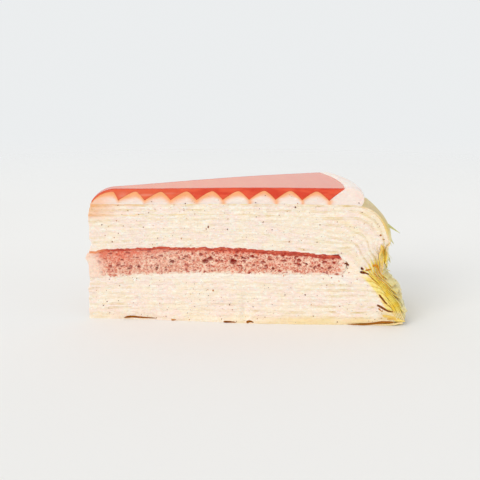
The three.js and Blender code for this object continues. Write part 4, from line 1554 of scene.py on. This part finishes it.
def shredPoints():
    draw = numpy.random.RandomState(shredLook["placeSeed"])
    places, along, outward, shapes = [], [], [], []

    def add(r, angle, z, length, width, direction, standing=False):
        places.append(toPlace(r, angle, z, 0.0).tolist())
        radial = numpy.array([math.cos(angle), math.sin(angle), 0])
        side = numpy.array([-math.sin(angle), math.cos(angle), 0])
        heading = direction[0] * radial + direction[1] * side + direction[2] * numpy.array([0, 0, 1])
        along.append(heading / numpy.linalg.norm(heading))
        outward.append(side if standing else radial)
        shapes.append((width / 1000, shredLook["thick"] / 1000, length / 1000))

    for r, degrees, z, length, width, slope in shredLook["standing"]:
        add(r, math.radians(degrees), z, length, width, (1, 0.0, slope), standing=True)
    for g in range(upperFirst, lastCrepe + 1):
        line = crepeLines(g)["over"]
        lift = crepeLift(g)[0]
        station = len(line) - 4
        for _ in range(shredLook["perEdge"]):
            angle = numpy.array([halfAngle * (2 * draw.rand() - 1) * 0.9])
            angle, r, z = lift(numpy.array([station]), angle, line[station:station + 1, 0],
                               line[station:station + 1, 1])
            direction = (0.25 + 0.5 * draw.rand(), 0.8 * (draw.rand() - 0.5), -1)
            length, width = 1.4 + 1.8 * draw.rand(), 0.7 + 0.8 * draw.rand()
            add(float(r[0]), float(angle[0]), float(z[0]), length, width, direction)
    mesh = bpy.data.meshes.new("shredPoints")
    mesh.from_pydata(places, [], [])
    for label, values in (("along", along), ("outward", outward), ("shape", shapes)):
        writeMark(mesh, label, values, "FLOAT_VECTOR")
    return mesh


shredInputs = {"Seed": shredLook["seed"], "Curl": shredLook["curl"], "Finish": finishes["crepeShred"]}
finishPiece(shreds.run("look_shreds", shredPoints(), shredInputs), "crepe")

curlLook = {
    "thick": 0.2, "sides": 8, "steps": 16,
    "farShift": (-0.6, 0.25),  # r and z between a curl on the near cut and its like on the far one
    # the places it runs through (r, z), its width, how toasted it is, how far behind the cut it lies
    "curls": [
        ([(97.7, 24.1), (99.4, 23.0)], 1.5, 1.0, -0.05),
        ([(103.8, 22.2), (104.9, 21.6)], 1.1, 1.0, 0),
        ([(103.4, 20.8), (105.0, 20.4), (107.2, 19.8)], 1.1, 0.95, 0),
        ([(105.5, 21.3), (107.8, 21.7)], 0.7, 0.6, 0),
        ([(108.0, 22.7), (109.5, 22.9), (110.5, 21.0)], 0.9, 0.45, 0.1),
        ([(109.7, 22.3), (111.7, 19.2), (114.2, 15.6)], 0.5, 0.3, 0.7),
        ([(107.5, 18.7), (110.2, 16.2), (112.9, 13.3)], 0.45, 0.3, 0),
        ([(108.7, 20.2), (111.8, 17.4), (115.2, 13.2)], 0.45, 0.3, 0.4),
        ([(110.8, 11.9), (112.8, 9.5), (115.6, 6.6)], 0.8, 0.78, 0),
        ([(110.3, 8.0), (112.2, 6.8), (114.5, 5.4), (117.2, 5.2)], 1.0, 0.8, 0),
        ([(111.0, 6.4), (112.5, 5.1)], 0.6, 0.62, 0),
        ([(116.6, 1.3), (112.6, 1.3), (107.5, 0.65), (99, 0.25)], 1.0, 0.72, -0.1),
        ([(112.4, 3.7), (115.4, 3.2), (119.0, 2.4)], 1.1, 0.18, -0.1),
        ([(114.0, 2.5), (116.5, 2.4), (119.6, 1.9)], 0.7, 0.24, -0.1),
        ([(116.5, 2.0), (118.5, 1.9), (120.6, 1.6)], 1.1, 0.0, -0.1),
        ([(110.9, 31), (111.2, 28.8), (110.5, 26.4), (111.4, 22.6)], 1.0, 0.14, 0),
        ([(13.7, 0.5), (16.3, 0.9), (20.6, 0.8), (27, 0.5)], 0.95, 0.76, 0),
        ([(32.4, 0.3), (34.4, 0.4)], 0.7, 0.62, 0),
        ([(52.5, 0.35), (55.2, 0.45), (57.6, 0.3)], 0.9, 0.78, 0),
        ([(61.3, 0.3), (62.5, 0.8), (64.2, 0.4)], 1.0, 0.76, 0),
    ],
}


def curlPiece():
    # browned ends of crepes that curl out of both cuts
    weld = Weld(("toasted",))
    steps = curlLook["steps"]
    share = numpy.linspace(0, 1, steps)
    taper = numpy.minimum(1, share / 0.15) ** 0.5 * (1 - share) ** 0.45
    for side, shift in ((-1, (0, 0)), (1, curlLook["farShift"])):
        for points, width, toasted, sink in curlLook["curls"]:
            line = roundOff(numpy.array(points) + shift, steps)
            line[:, 0] += cutLook["squeeze"] * ease(97, 112, line[:, 0])
            normals = lineNormals(line)
            rows = []
            for turn in numpy.linspace(0, 2 * math.pi, curlLook["sides"] + 1):
                around = turn % (2 * math.pi)
                spot = line + normals * (math.cos(around) * width / 2 * taper)[:, None]
                rows.append(cutPlace(*spot.T, side, sink - math.sin(around) * curlLook["thick"] * taper))
            grid = numpy.stack(rows)
            weld.patch(grid, 0, side > 0, numpy.full((*grid.shape[:2], 1), toasted))
    piece = addObject("look_browned_curls", weld.mesh("look_browned_curls"))
    piece.data.materials.append(finishes["brownedCurl"])
    finishPiece(piece, "crepe")


curlPiece()
print("edges frayed")


# studio
studioLook = {
    "lens": 61.62, "cameraAt": (-41.991, -308.358, 100.66), "pitch": 12.947, "turn": 7.431,
    "worldColour": (0.835, 0.852, 0.86),
    "floorRadius": 1.3, "floorSides": 96, "floorEdge": (0.14, 0.75),  # metres over which it fades away
    "keyPower": 1.05, "keyFrom": (-0.72, -0.58, 0.5), "keySpread": 34,
}


def floorFinish():
    # the floor fades into the backdrop
    f = Finish("floorPale")
    tone = f.paint("floor", ("floorShade", f.patches(0.4, 0.6, (400, 400, 400))))
    shader = f.node("ShaderNodeBsdfPrincipled", None, {"Base Color": tone, "Roughness": 0.8}, "BSDF")
    distance = f.node("ShaderNodeVectorMath", {"operation": "LENGTH"}, {0: f.where}, "Value")
    clear = f.node("ShaderNodeBsdfTransparent")
    away = distance.between(*studioLook["floorEdge"])
    return f.close(f.node("ShaderNodeMixShader", None, {0: away, 1: shader, 2: clear}))


def addFloor():
    steps, radius = studioLook["floorSides"], studioLook["floorRadius"]
    turns = [2 * math.pi * k / steps for k in range(steps)]
    points = [(0, 0, 0)] + [(radius * math.cos(turn), radius * math.sin(turn), 0) for turn in turns]
    mesh = bpy.data.meshes.new("floor")
    mesh.from_pydata(points, [], [(0, 1 + k, 1 + (k + 1) % steps) for k in range(steps)])
    mesh.materials.append(floorFinish())
    addObject("floor", mesh)


def addKey():
    light = bpy.data.lights.new("key", "SUN")
    light.energy = studioLook["keyPower"]
    light.angle = math.radians(studioLook["keySpread"])
    towards = Vector(studioLook["keyFrom"]).to_track_quat("Z", "Y")
    addObject("key", light).rotation_euler = towards.to_euler()


def addWorld():
    world = bpy.data.worlds.new("studio")
    world.use_nodes = True
    background = world.node_tree.nodes["Background"]
    background.inputs["Color"].default_value = (*studioLook["worldColour"], 1)
    background.inputs["Strength"].default_value = 1.0
    bpy.context.scene.world = world
    bpy.context.scene.view_settings.view_transform = "Standard"


def addCamera():
    data = bpy.data.cameras.new("camera")
    data.sensor_width = 36
    data.lens = studioLook["lens"]
    data.clip_start = 0.01
    camera = addObject("camera", data)
    camera.location = Vector(studioLook["cameraAt"]) / 1000
    camera.rotation_euler = (math.radians(90 - studioLook["pitch"]), 0, -math.radians(studioLook["turn"]))
    bpy.context.scene.camera = camera


addFloor()
addKey()
addWorld()
addCamera()
print("studio lit")
